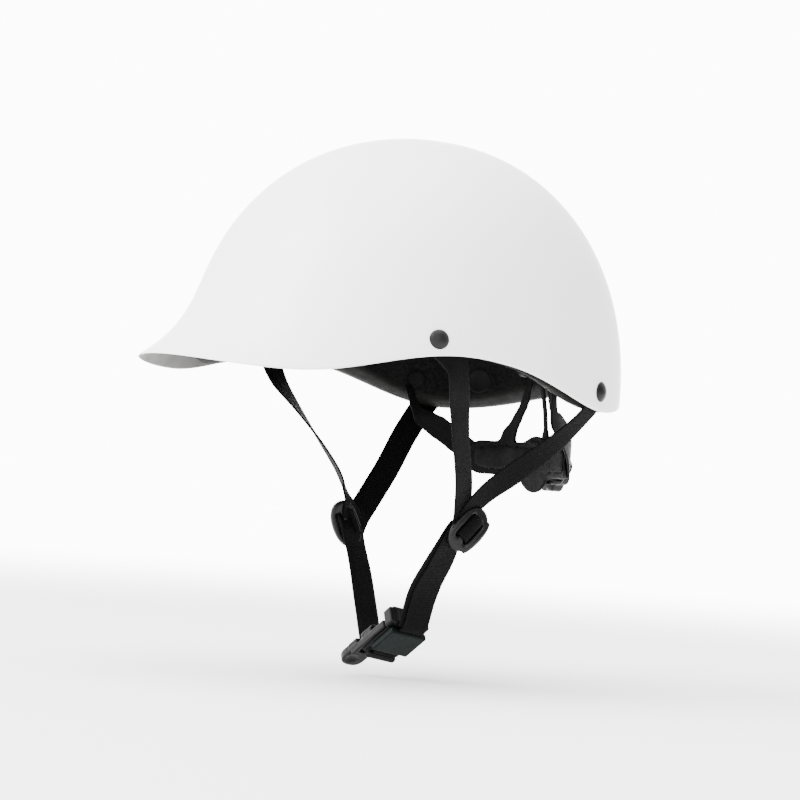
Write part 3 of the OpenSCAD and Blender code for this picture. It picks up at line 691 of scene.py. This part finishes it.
def strip(name, rows, body, replaced, rib=0.13, ridge=0.05):
    """Webbing along control rows of (x, y, z, heading, rise), with ribs across and ridges along."""
    at, fine = resample(curve_rows(rows), STATION)
    place, along, side, thin = strip_frames(fine)
    across, high = section(WEB_WIDTH, WEB_THICK, 21).T
    face = np.abs(high) > WEB_THICK * 0.49
    edge_fade = 1 - (np.abs(across) / (WEB_WIDTH / 2)) ** 8
    groove = ridge * np.cos(2 * np.pi * across / LINE_PITCH) * face
    outlines = []
    for run in at:
        wave = rib * math.cos(2 * math.pi * run / RIB_PITCH) * face * edge_fade
        selvedge = SELVEDGE * math.cos(4 * math.pi * run / RIB_PITCH) * ~face
        outlines.append((across + np.sign(across) * selvedge, high + np.sign(high) * (wave + groove)))
    return sweep(name, at, (place, side, thin), outlines, body, replaced)


def beside(rows, across, through):
    """The rows of a second layer, shifted across the strap and to its inner side."""
    rows = np.asarray(rows, float)
    place, along, side, thin = strip_frames(rows)
    facing = np.sign(thin @ np.array([0.86, -0.51, 0]))[:, None]
    right = np.sign(side @ np.array([0.51, 0.86, 0]))[:, None]
    shift = np.asarray(across)[:, None] * side * right - through * thin * facing
    return np.concatenate((place + shift, rows[:, 3:]), 1)


E1 = np.array([-0.82097, -0.11538, -0.55919])
E2 = np.array([-0.021, 0.98481, -0.17237])
E3 = np.array([0.57059, -0.12976, -0.81092])
BUCKLE = np.array([4, 2.6, -139.5])
TILT = [91.2, -9.9]


def buckle_point(x, y, z):
    return BUCKLE + x * E1 + y * E2 + z * E3


def strap_row(x, y, z, tilt=None):
    return [*buckle_point(x, y, z), *(tilt or TILT)]


LEFT_FRONT = [
    [96.5, -41.9, 25, 76, 0], [97.1, -42.1, 19.3, 76, 0], [98.2, -35, 13, 86, 0],
    [97.4, -29, 7, 102, 0], [94.6, -25, -4, 109, 0], [88, -19.5, -16, 112, 0],
    [81, -13, -32, 117, 0], [72, -4, -53, 117, 0], [64, 1.5, -68, 117, 0], [59.6, 4, -77, 112, 0],
    [58.6, 5, -86, 105, 0],
]
RIGHT_FRONT = [
    [-96.5, -41.9, 25, 104, 0], [-97.1, -42.1, 19.3, 104, 0], [-98.3, -39, 13.5, 103, 0],
    [-98.7, -36.6, 7, 103, 0], [-95, -32, -4, 112, 0], [-88, -23, -18, 135, 0],
    [-80, -11, -36, 155, 0], [-74, -2, -51, 160, 0], [-68, 1.6, -62.5, 155, 0], [-61, 2, -70, 130, 0],
    [-59, 3, -80, 100, 0],
]
LEFT_REAR = [
    [87, 67.3, 6, 118.6, 0], [87, 67.3, 0.8, 118.6, 0], [86.9, 66.7, -4.5, 118, 0],
    [86.8, 63.8, -10.5, 116, 0], [84, 58, -18.5, 114, -4], [79.5, 49.5, -28.5, 110, -14],
    [75, 38.5, -39, 108, -28], [70.5, 26.5, -49, 108, -32], [67, 16.5, -57.5, 110, -20],
    [64.4, 10, -65, 112, -8], [61.6, 6.5, -73, 108, 0], [60, 6, -80, 106, 0],
]
RIGHT_REAR = [
    [-87, 67.3, 6, 61.4, 0], [-87, 67.3, 0.8, 61.4, 0], [-86.9, 66.7, -4.5, 62, 0],
    [-86.6, 61.6, -11, 66, 0], [-84.5, 54.5, -20, 72, 0], [-81, 46, -31, 76, 0],
    [-75, 33.5, -49, 80, 0], [-67.5, 18.5, -67, 84, 0], [-63, 10, -77, 88, 0], [-61.5, 6, -86, 92, 0],
]
LEFT_LOWER = [
    [59.4, 4, -80, 104, 0], [58.6, -2, -90, 102, 0], [49, -1, -101, 96, -2], [38, 0, -112, 92, -5],
    [29, 2, -122, 91, -8], *[strap_row(x, 0, 7.4) for x in (-15, -8, 0, 8, 16.5)],
]
RIGHT_LOWER = [
    [-60, -1, -79, 98, 0], [-57.4, 2, -86, 100, 0], [-56.8, 5.6, -97, 100, 0], [-50, 6, -110, 96, 0],
    [-40, 4, -124, 92, -3], [-31, 2, -136, 91, -6], *[strap_row(25, -2, z) for z in (-11, -5.6)],
]

strip("left_front_webbing", LEFT_FRONT, "helmet", ["left_front_strap"], rib=0.05, ridge=0.08)
strip("right_front_webbing", RIGHT_FRONT, "helmet", ["right_front_strap"], rib=0.05, ridge=0.08)
strip("left_rear_webbing", LEFT_REAR, "helmet", ["left_rear_strap"], rib=0.2, ridge=0.1)
strip("right_rear_webbing", RIGHT_REAR, "helmet", ["right_rear_strap"], rib=0.12, ridge=0.08)
strip("left_lower_webbing", LEFT_LOWER, "helmet", ["left_lower_strap"])
second_layer = beside(LEFT_LOWER[:6], (0, -1.4, -2.7, -2.7, -2.7, -2.2), 1.8)
strip("left_lower_return", second_layer, "helmet", [], rib=0.06)
right_lower = strip("right_lower_webbing", RIGHT_LOWER, None, ["right_lower_strap"])
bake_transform(right_lower)


# ------------------------------------------------------------------ adjusters

def local_frame(points, origin, axes):
    """Points of a local frame in the row frame; axes are the rows of the local X, Y and Z."""
    return np.asarray(points) @ np.asarray(axes) + np.asarray(origin)


def superellipse(p, a, b, power):
    return (np.abs(p[..., 0] / a) ** power + np.abs(p[..., 1] / b) ** power) ** (1 / power)


def adjuster_field(p):
    """Oval divider: domed ring, middle bar, and a wide lens-shaped lower bar."""
    x, y, z = p[..., 0], p[..., 1], p[..., 2]
    arch = 1.5 * (x / 15.5) ** 2
    outline = (superellipse(p, 14.2, 8.6, 2.3) - 1) * 8.6
    ring = plate(outline, z + arch - 0.6, 2.0, 1.4)
    for sign in (-1, 1):
        slot = np.stack((x, y - sign * 3.1, z), -1)
        hole = (superellipse(slot, 8.1, 1.7, 3.2) - 1) * 1.6
        ring = cut_out(ring, hole, 0.7)
    lens = np.stack((x, y + 6.8, z - 1.8 + arch), -1)
    bar = (length(lens / np.array([11.8, 2.4, 2.3])) - 1) * 2.1
    return blend_in(ring, bar, 0.7)


# The webbing's way through a divider, as (across the ring, out of its plane)
LOOP = [(-5.2, -4.0), (-3.7, -2.4), (-3.1, 0.2), (-2.6, 3.0), (0.2, 4.7), (2.6, 3.6), (3.2, 0.4),
        (3.7, -2.4), (5.2, -4.2)]


def divider_loop(name, origin, axes):
    """The webbing that wraps the middle bar of a divider."""
    rows = [[*local_frame([0.3, b, n], origin, axes), 0, 0] for b, n in LOOP]
    at, fine = resample(curve_rows(rows), STATION)
    place = fine[:, :3]
    along = unit(np.gradient(place, axis=0))
    side = np.broadcast_to(axes[0], along.shape)
    thin = unit(np.cross(along, side))
    across, high = section(WEB_WIDTH, WEB_THICK, 21).T
    face = np.abs(high) > WEB_THICK * 0.49
    outlines = []
    for run in at:
        lift = 0.12 * math.cos(2 * math.pi * run / RIB_PITCH) + 0.08 * np.cos(2 * np.pi * across / LINE_PITCH)
        outlines.append((across, high + np.sign(high) * lift * face))
    sweep(name, at, (place, side, thin), outlines, "helmet", [])


def adjuster(name, origin, slant, side, node):
    s, c = math.sin(math.radians(slant)), math.cos(math.radians(slant))
    axes = np.array([[0, c, s], [0, -s, c], [side, 0, 0]])
    points, faces = nets(adjuster_field, (-15.6, -10, -4.5), (15.6, 9.8, 5), 0.4)
    piece(name, local_frame(points, origin, axes), faces, "helmet", node)
    divider_loop(name + "_loop", origin, axes)


adjuster("left_divider", (63.5, 6.2, -79.4), 47, 1, "left_adjuster")
adjuster("right_divider", (-59.5, -0.5, -83.5), 117, -1, "right_adjuster")


# ------------------------------------------------------------------ buckle

BUCKLE_AXES = np.array([E1, E2, E3])


def socket_field(p):
    body = rounded_box(p, (-13, -12, -6), (21, 12, 5), 1.6)
    bar = flat_rod(p, (20.4, 0, 6.2), (20.4, 0.001, 6.2), 7.8, 2.3)
    body = blend_in(body, bar, 1.0)
    body = blend_in(body, rounded_box(p, (-13, -14.2, -5), (-5.7, -8, 5), 1.2), 0.5)
    channel = rounded_box(p, (-6, -15, -4), (17, 9, 2.6), 0.6)
    window = rounded_box(p, (-6, -14, -8), (9, 2, -3.9), 0.8)
    return cut_out(cut_out(body, channel, 0.5), window, 0.5)


def tab_field(p):
    tongue = rounded_box(p, (9.4, -12.6, -3.7), (16.6, 8.6, 2.3), 0.7)
    front = rounded_box(p, (-5.3, -14.4, -0.2), (28, -12.3, 4.6), 0.9)
    web = rounded_box(p, (21.4, -14.4, -3.7), (30, 8.4, 1.6), 1.2)
    lobe = (superellipse(p - np.array([33.2, -7.6, 0]), 8.8, 6.8, 2.7) - 1) * 6.8
    lobe = plate(lobe, p[..., 2] + 0.6, 3.1, 1.6)
    body = blend_in(blend_in(tongue, front, 0.8), blend_in(web, lobe, 1.0), 0.8)
    slot = rounded_box(p, (23.9, -9.8, -8), (26.4, 5.8, 8), 0.8)
    dimple = length(p - np.array([34.5, -10, 9.4])) - 8.0
    return cut_out(cut_out(body, slot, 0.5), dimple, 0.5)


def buckle_piece(name, field, low, high, step, body, *replaced):
    points, faces = nets(field, low, high, step)
    piece(name, local_frame(points, BUCKLE, BUCKLE_AXES), faces, body, *replaced)


buckle_piece("buckle_body", socket_field, (-13, -14.2, -6), (23, 12, 9), 0.42, "helmet", "buckle_socket")
buckle_piece("buckle_pull", tab_field, (-5.5, -14.6, -6), (42.5, 10.5, 5), 0.42, "buckle_tab", "buckle_tab")


def sleeve_field(p):
    q = p - np.array([1.5, 0, 7.4])
    outer = rounded_box(q, (-10.5, -11.8, -2), (10.5, 11.8, 2), 1.2)
    hole = rounded_box(q, (-14, -8, -1.0), (14, 8, 1.0), 0.4)
    return cut_out(outer, hole, 0.25)


buckle_piece("label_sleeve", sleeve_field, (-9.2, -12, 5.2), (12.2, 12, 9.6), 0.3, "sleeve", "strap_sleeve")


# ------------------------------------------------------------------ cradle

DIAL_Z, TILT_Z = -41.0, 14.0


def cradle_y(x, out):
    far = np.minimum(np.abs(x) / (78 + out), 0.9999)
    return (88 + out) * (1 - far ** 2.5) ** (1 / 2.5)


def segment_field(p, a, b, ra, rb):
    a, b = np.asarray(a, float), np.asarray(b, float)
    t = np.clip(((p - a) @ (b - a)) / ((b - a) @ (b - a)), 0, 1)
    return length(p - a - t[..., None] * (b - a)) - (ra + (rb - ra) * t)


def cradle_outline(x, z):
    q = np.stack((np.abs(x), z), -1)
    out = rounded_rect(np.stack((x, z + 38.5), -1), 52, 10, 8)
    out = blend_in(out, length(np.stack((x, z - DIAL_Z), -1)) - 16.5, 3)
    arm = [((28.5, -33), 5.4), ((26.2, -25), 4.2), ((20, -14.5), 3.1), ((15.3, -7), 2.8), ((13.4, -3), 2.7),
           ((11.4, 5), 2.7), ((10.6, 11), 2.8), ((10.6, TILT_Z), 2.8)]
    for (a, ra), (b, rb) in zip(arm, arm[1:]):
        out = blend_in(out, segment_field(q, a, b, ra, rb), 4 if a[1] < -24 else 1.2)
    return out


def cradle_field(p):
    x, y, z = p[..., 0], p[..., 1], p[..., 2]
    tiny = 0.5
    tilt = (cradle_y(x + tiny, 1) - cradle_y(x - tiny, 1)) / (2 * tiny)
    offset = (y - cradle_y(x, 1)) / np.sqrt(1 + tilt ** 2)
    body = plate(cradle_outline(x, z), offset, 1.0, 0.7)
    block = rounded_box(p, (-20, 88, DIAL_Z - 8.5), (20, 90, DIAL_Z + 12), 0.6)
    body = blend_in(body, block, 0.6)
    leg = [(89.3, TILT_Z), (90.4, 5), (92.2, -3), (93.6, -10), (94.8, -19), (95.2, -26)]
    side = p[..., 1:]
    outline = None
    for a, b in zip(leg, leg[1:]):
        seg = segment_field(side, a, b, 0.8, 0.8)
        outline = seg if outline is None else np.minimum(outline, seg)
    foot = segment_field(side, (88.9, -28.9), (96.3, -28.9), 1.25, 1.25)
    outline = blend_in(outline, foot, 3)
    body = blend_in(body, plate(outline, x, 1.6 + 2.6 * np.clip((-z - 20) / 7, 0, 1), 0.5), 1.5)
    for at in (-10.6, 0, 10.6):
        width = 1.8 if at == 0 else 3
        eye = p - np.array([at, 89, TILT_Z])
        body = blend_in(body, disc(eye, 0, -width, width, 3.6, 0.5), 0.5)
    hole = length(p[..., 1:] - np.array([89, TILT_Z])) - 1.56
    shaft = length(p[..., [0, 2]] - np.array([0, DIAL_Z])) - 1.6
    return np.maximum(np.maximum(body, -hole), -np.maximum(shaft, 86 - y))


points, faces = nets(cradle_field, (-53, 64, -58), (53, 98.5, 18.5), 0.5)
piece("cradle_frame", points, faces, "cradle", "cradle_plate")

BAND = [((21.4, DIAL_Z), 6.9), ((46, DIAL_Z), 6.9), ((52, -37), 6.9), ((60, -29.5), 6.8), ((67, -22.5), 6.6),
        ((71.5, -17.5), 5.6)]
BAND_ARM = [((72.6, -16), 3.6), ((74, -9), 2.5), ((75.2, 0.6), 2.2)]


ARC_X = np.linspace(0, 81, 3000)
ARC_LENGTH = np.concatenate(([0], np.cumsum(np.hypot(np.diff(ARC_X), np.diff(cradle_y(ARC_X, 3.1))))))


def along_arc(x):
    return np.interp(x, ARC_X, ARC_LENGTH)


def band_field(p):
    """Strip laid flat: length along the cradle's curve, thickness, height."""
    q = p[..., [0, 2]]
    out = None
    for line in (BAND, BAND_ARM):
        for (a, ra), (b, rb) in zip(line, line[1:]):
            seg = segment_field(q, (along_arc(a[0]), a[1]), (along_arc(b[0]), b[1]), ra, rb)
            out = seg if out is None else blend_in(out, seg, 1.0)
    return plate(np.maximum(out, along_arc(21.4) - p[..., 0]), p[..., 1], 0.65, 0.5)


def on_cradle(points):
    """Lays flat band points on the cradle's curve, leaning out towards the anchor and the housing."""
    x = np.interp(points[:, 0], ARC_LENGTH, ARC_X)
    tilt = cradle_y(x + 0.3, 3.1) - cradle_y(x - 0.3, 3.1)
    out = unit(np.stack((-tilt / 0.6, np.ones_like(x)), -1))
    lean = 1.5 * np.clip((30 - x) / 8, 0, 1) + 3.4 * np.clip((points[:, 2] + 17) / 17.6, 0, 1.1) ** 1.3
    place = np.stack((x, cradle_y(x, 3.1)), -1) + out * (points[:, 1] + lean)[:, None]
    return np.stack((place[:, 0], place[:, 1], points[:, 2]), -1)


low = (along_arc(21) - 1, -1, -49)
points, faces = nets(band_field, low, (along_arc(77.8) + 1, 1, 3.4), 0.4)
points = on_cradle(points)
for name, side, node in (("left_band_strip", 1, "left_band"), ("right_band_strip", -1, "right_band")):
    strip_piece = piece(name, points * np.array([side, 1, 1]), faces, None, node)
    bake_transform(strip_piece)


# ------------------------------------------------------------------ dial unit

def housing_field(p):
    q = p - np.array([0, 0, DIAL_Z])
    outline = rounded_rect(q[..., [0, 2]], 21, 11, 8)
    body = plate(outline, q[..., 1] - 93, 2.7, 0.5)
    inside = plate(outline + 1.6, q[..., 1] - 94.2, 2.7, 0.3)
    body = np.maximum(body, -inside)
    sides = rounded_box(q, (-30, 91.5, -8.2), (30, 99, 8.2), 0.3)
    body = np.maximum(body, -sides)
    return np.maximum(body, -np.maximum(length(q[..., [0, 2]]) - 1.6, q[..., 1] - 94))


def cover_field(p):
    q = p - np.array([0, 0, DIAL_Z])
    outline = rounded_rect(q[..., [0, 2]], 21, 11, 8)
    body = plate(outline, q[..., 1] - 96.5, 0.8, 0.7)
    return np.maximum(body, -(length(q[..., [0, 2]]) - 2.56))


def dial_field(p):
    q = p - np.array([0, 98, DIAL_Z])
    angle = np.arctan2(q[..., 2], q[..., 0])
    radial = length(q[..., [0, 2]])
    flute = 0.5 + 0.5 * np.cos(10 * angle)
    edge = radial - (15.4 - 1.5 * (1 - flute) ** 1.5)
    body = plate(edge, q[..., 1] - 3.75, 3.75, 1.1)
    hollow = plate(radial - 9.5, q[..., 1], 1.8, 0.2)
    body = np.maximum(body, -hollow)
    dish = length(q - np.array([0, 47.2, 0])) - 40.6
    body = cut_out(body, dish, 0.4)
    bore = np.maximum(radial - 2.5, q[..., 1] - 6.7)
    head = np.maximum(radial - 3.3, 5.3 - q[..., 1])
    return np.maximum(np.maximum(body, -bore), -head)


for name, field, low, high, step, body, node in (
        ("dial_case", housing_field, (-21.2, 90, -55), (21.2, 96, -27), 0.45, "cradle", "dial_housing"),
        ("dial_lid", cover_field, (-21.2, 95.5, -55), (21.2, 97.5, -27), 0.45, "cradle", "housing_cover"),
        ("dial_knob", dial_field, (-15.8, 97.8, -57), (15.8, 105.8, -25), 0.4, "dial", "dial")):
    points, faces = nets(field, low, high, step)
    piece(name, points, faces, body, node)


# ------------------------------------------------------------------ rivets and plugs

def dome_frame(u_deg, z, d):
    u = math.radians(u_deg)
    a, b = dome_plan(np.array([u - 0.0175, u + 0.0175]), d)
    out = unit(np.array([b[1] - a[1], -(b[0] - a[0]), 0]))
    if out @ np.array([math.sin(u), -math.cos(u), 0]) < 0:
        out = -out
    tangent = np.cross([0, 0, 1.0], out)
    return dome_point(u, z, d), np.array([np.cross(tangent, out), tangent, out])


def lathe(profile, steps=64):
    """Closed turned shape from a profile of (radius, height) that starts and ends on the axis."""
    profile = np.asarray(profile, float)
    a = np.linspace(0, 2 * np.pi, steps, endpoint=False)
    inner = profile[1:-1]
    rings = [np.stack((r * np.cos(a), r * np.sin(a), np.full(steps, h)), -1) for r, h in inner]
    verts = np.concatenate(rings)
    ends = np.array([[0, 0, profile[0][1]], [0, 0, profile[-1][1]]])
    n, last, k = len(verts), (len(inner) - 1) * steps, np.arange(steps)
    faces = tube_faces(len(inner), steps)
    faces += np.stack((np.full(steps, n), (k + 1) % steps, k), -1).tolist()
    faces += np.stack((np.full(steps, n + 1), last + k, last + (k + 1) % steps), -1).tolist()
    return np.concatenate((verts, ends)), faces


def pair(name, spot, d, profile, node, steps=64):
    """A turned piece on both sides of the dome."""
    verts, faces = lathe(profile, steps)
    origin, axes = dome_frame(*spot, d)
    left = local_frame(verts, origin, axes)
    right = left * np.array([-1, 1, 1])
    n = len(verts)
    both = [f[::-1] for f in faces] + [[i + n for i in f] for f in faces]
    return piece(name, np.concatenate((left, right)), both, "helmet", node)


DOME_CAP = [(0, 2.7)] + [(5.6 * math.sin(a) / math.sin(0.83), 2.6 - (1 - math.cos(a)) * 7.33)
                         for a in np.linspace(0.08, 0.83, 12)]
RIVET = DOME_CAP + [(5.62, 0.05), (5.5, -0.35), (5.0, -0.4), (1.9, -0.42), (1.8, -0.5), (1.8, -4.3),
                    (1.7, -4.4), (0, -4.4)]
pair("temple_rivet_caps", (72, 19.3), 0, RIVET[::-1], "temple_rivets")
pair("rear_rivet_caps", (123, 0.8), 0, RIVET[::-1], "rear_rivets")
PLUG = [(0, -6), (2.7, -6), (3, -5.7), (3, -1.8), (7.2, -1.7), (7.5, -1.4), (7.5, 0.2), (7.2, 0.5),
        (6.6, 0.6), (5.4, 0.35), (0, 0.3)]
pair("liner_plug_caps", (141.6, 6.9), 20, [(r, -h) for r, h in PLUG], "liner_plugs")


# ------------------------------------------------------------------ pads

# Cushions, in metres: voxel of the remesh, pressure, frames simulated and the most a point may move
PAD_VOXEL, PAD_PRESSURE, PAD_FRAMES, PAD_SWELL = 0.0017, 3, 14, 0.0013


def pad_shell(from_u, to_u, low_z, high_z, depth, nu, nz):
    """Outer and inner face of a pad on the liner between two angles and heights, swollen at the middle."""
    fu, fz = np.meshgrid(np.linspace(0, 1, nu), np.linspace(0, 1, nz), indexing="ij")
    pinch = 0.25 * np.abs(2 * fu - 1) ** 4
    a, b = low_z + (high_z - low_z) * pinch, high_z + (low_z - high_z) * pinch
    u = np.radians(from_u + (to_u - from_u) * fu)
    z = a + (b - a) * fz
    edge = np.minimum(np.minimum(fu, 1 - fu) * (nu / nz) * 2.0, np.minimum(fz, 1 - fz) * 2)
    swell = np.clip(edge / 0.5, 0, 1) ** 0.5
    outer = dome_point(u, z, 20.5)
    inner = dome_point(u, z, 20.8 + depth * swell)
    return outer, inner


def apply_modifiers(obj):
    """Bakes an object's modifiers into its mesh."""
    graph = bpy.context.evaluated_depsgraph_get()
    graph.update()
    shaped = obj.evaluated_get(graph)
    done = bpy.data.meshes.new_from_object(shaped, preserve_all_data_layers=True, depsgraph=graph)
    obj.modifiers.clear()
    old = obj.data
    obj.data = done
    bpy.data.meshes.remove(old)


def coordinates(mesh):
    flat = np.zeros(len(mesh.vertices) * 3)
    mesh.vertices.foreach_get("co", flat)
    return flat.reshape(-1, 3)


def inflate(obj):
    """Fills a closed pad by a short cloth simulation, and caps how far its surface may move."""
    remesh = obj.modifiers.new("remesh", "REMESH")
    remesh.mode = "VOXEL"
    remesh.voxel_size = PAD_VOXEL
    apply_modifiers(obj)
    start = coordinates(obj.data)
    cloth = obj.modifiers.new("cloth", "CLOTH")
    cloth.settings.use_pressure = True
    cloth.settings.uniform_pressure_force = PAD_PRESSURE
    cloth.settings.quality = 5
    cloth.settings.tension_stiffness = 20
    cloth.settings.effector_weights.gravity = 0
    cloth.point_cache.frame_start = 1
    cloth.point_cache.frame_end = PAD_FRAMES
    scene = bpy.context.scene
    for step in range(1, PAD_FRAMES + 1):
        scene.frame_set(step)
    apply_modifiers(obj)
    scene.frame_set(1)
    move = coordinates(obj.data) - start
    size = np.linalg.norm(move, axis=1, keepdims=True)
    move *= np.minimum(1, PAD_SWELL / np.maximum(size, 1e-9))
    obj.data.vertices.foreach_set("co", (start + move).ravel())
    obj.data.update()


def cushion(name, outer, inner, node, body="helmet"):
    """A padded piece between two surfaces that share their rims."""
    nu, nz = outer.shape[:2]
    n = nu * nz
    ids = np.arange(n).reshape(nu, nz)
    quad = np.stack((ids[:-1, :-1], ids[1:, :-1], ids[1:, 1:], ids[:-1, 1:]), -1).reshape(-1, 4)
    rim = np.concatenate((ids[:-1, 0], ids[-1, :-1], ids[:0:-1, -1], ids[0, :0:-1]))
    nxt = np.roll(rim, -1)
    walls = np.stack((rim, rim + n, nxt + n, nxt), -1)
    faces = quad.tolist() + (quad[:, ::-1] + n).tolist() + walls.tolist()
    verts = np.concatenate((outer.reshape(-1, 3), inner.reshape(-1, 3)))
    obj = piece(name, verts, faces, None, node)
    bpy.context.view_layer.objects.active = obj
    inflate(obj)
    smooth = obj.modifiers.new("smooth", "SUBSURF")
    smooth.levels = smooth.render_levels = 1
    apply_modifiers(obj)
    obj.data.polygons.foreach_set("use_smooth", np.ones(len(obj.data.polygons), bool))
    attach(obj, body)


for name, span, heights, node in (
        ("brow_cushion", (-52, 52), (19, 42), "brow_pad"), ("rear_cushion", (150, 210), (34, 60), "rear_pad"),
        ("left_side_cushion", (62, 100), (34, 64), "left_side_pad"),
        ("right_side_cushion", (-62, -100), (34, 64), "right_side_pad")):
    outer, inner = pad_shell(*span, *heights, 4.6, 41, 17)
    if span[1] < span[0]:
        outer, inner = outer[::-1], inner[::-1]
    cushion(name, outer, inner, node)

def dome_top(x, y, d):
    """Point of the dome above a place in plan."""
    reach = np.where(y < 0, FRONT, REAR) - d
    out = (np.abs(x) / (HALF_W - d)) ** PLAN_POWER + (np.abs(y) / reach) ** PLAN_POWER
    out **= 1 / PLAN_POWER
    return np.stack((x, y, (TALL - d) * (1 - out ** DOME_POWER) ** (1 / DOME_POWER)), -1)


s, t = np.meshgrid(np.linspace(-1, 1, 33), np.linspace(-1, 1, 29), indexing="ij")
crown_x, crown_y = 49 * s * np.sqrt(1 - t * t / 2), 37 * t * np.sqrt(1 - s * s / 2) - 4
crown_swell = np.clip(2.4 * (1 - np.maximum(np.abs(s), np.abs(t))), 0, 1) ** 0.5
crown_outer = dome_top(crown_x, crown_y, 21.2)
crown_inner = dome_top(crown_x, crown_y, 21.5) - np.stack((0 * s, 0 * s, 4.6 * crown_swell), -1)
cushion("crown_cushion", crown_outer, crown_inner, "crown_pad")

s, t = np.meshgrid(np.linspace(-1, 1, 45), np.linspace(-1, 1, 13), indexing="ij")
nape_x = 48.5 * s * (1 - 0.04 * t ** 2)
nape_z = -38.5 + 8 * t * (1 - 0.3 * s ** 8)
nape_swell = np.clip(np.minimum(6 * (1 - np.abs(s)), 2.4 * (1 - np.abs(t))), 0, 1) ** 0.5
nape_outer = np.stack((nape_x, cradle_y(nape_x, -0.15), nape_z), -1)
nape_inner = np.stack((nape_x, cradle_y(nape_x, -0.4 - 2.2 * nape_swell), nape_z), -1)
cushion("nape_cushion", nape_inner, nape_outer, "cradle_pad", "cradle")


# ------------------------------------------------------------------ carried-over nodes

for name, obj in nodes.items():
    material = MAT[SLOT[name]]
    if not obj.material_slots:
        obj.data.materials.append(material)
    for place in obj.material_slots:
        place.material = material
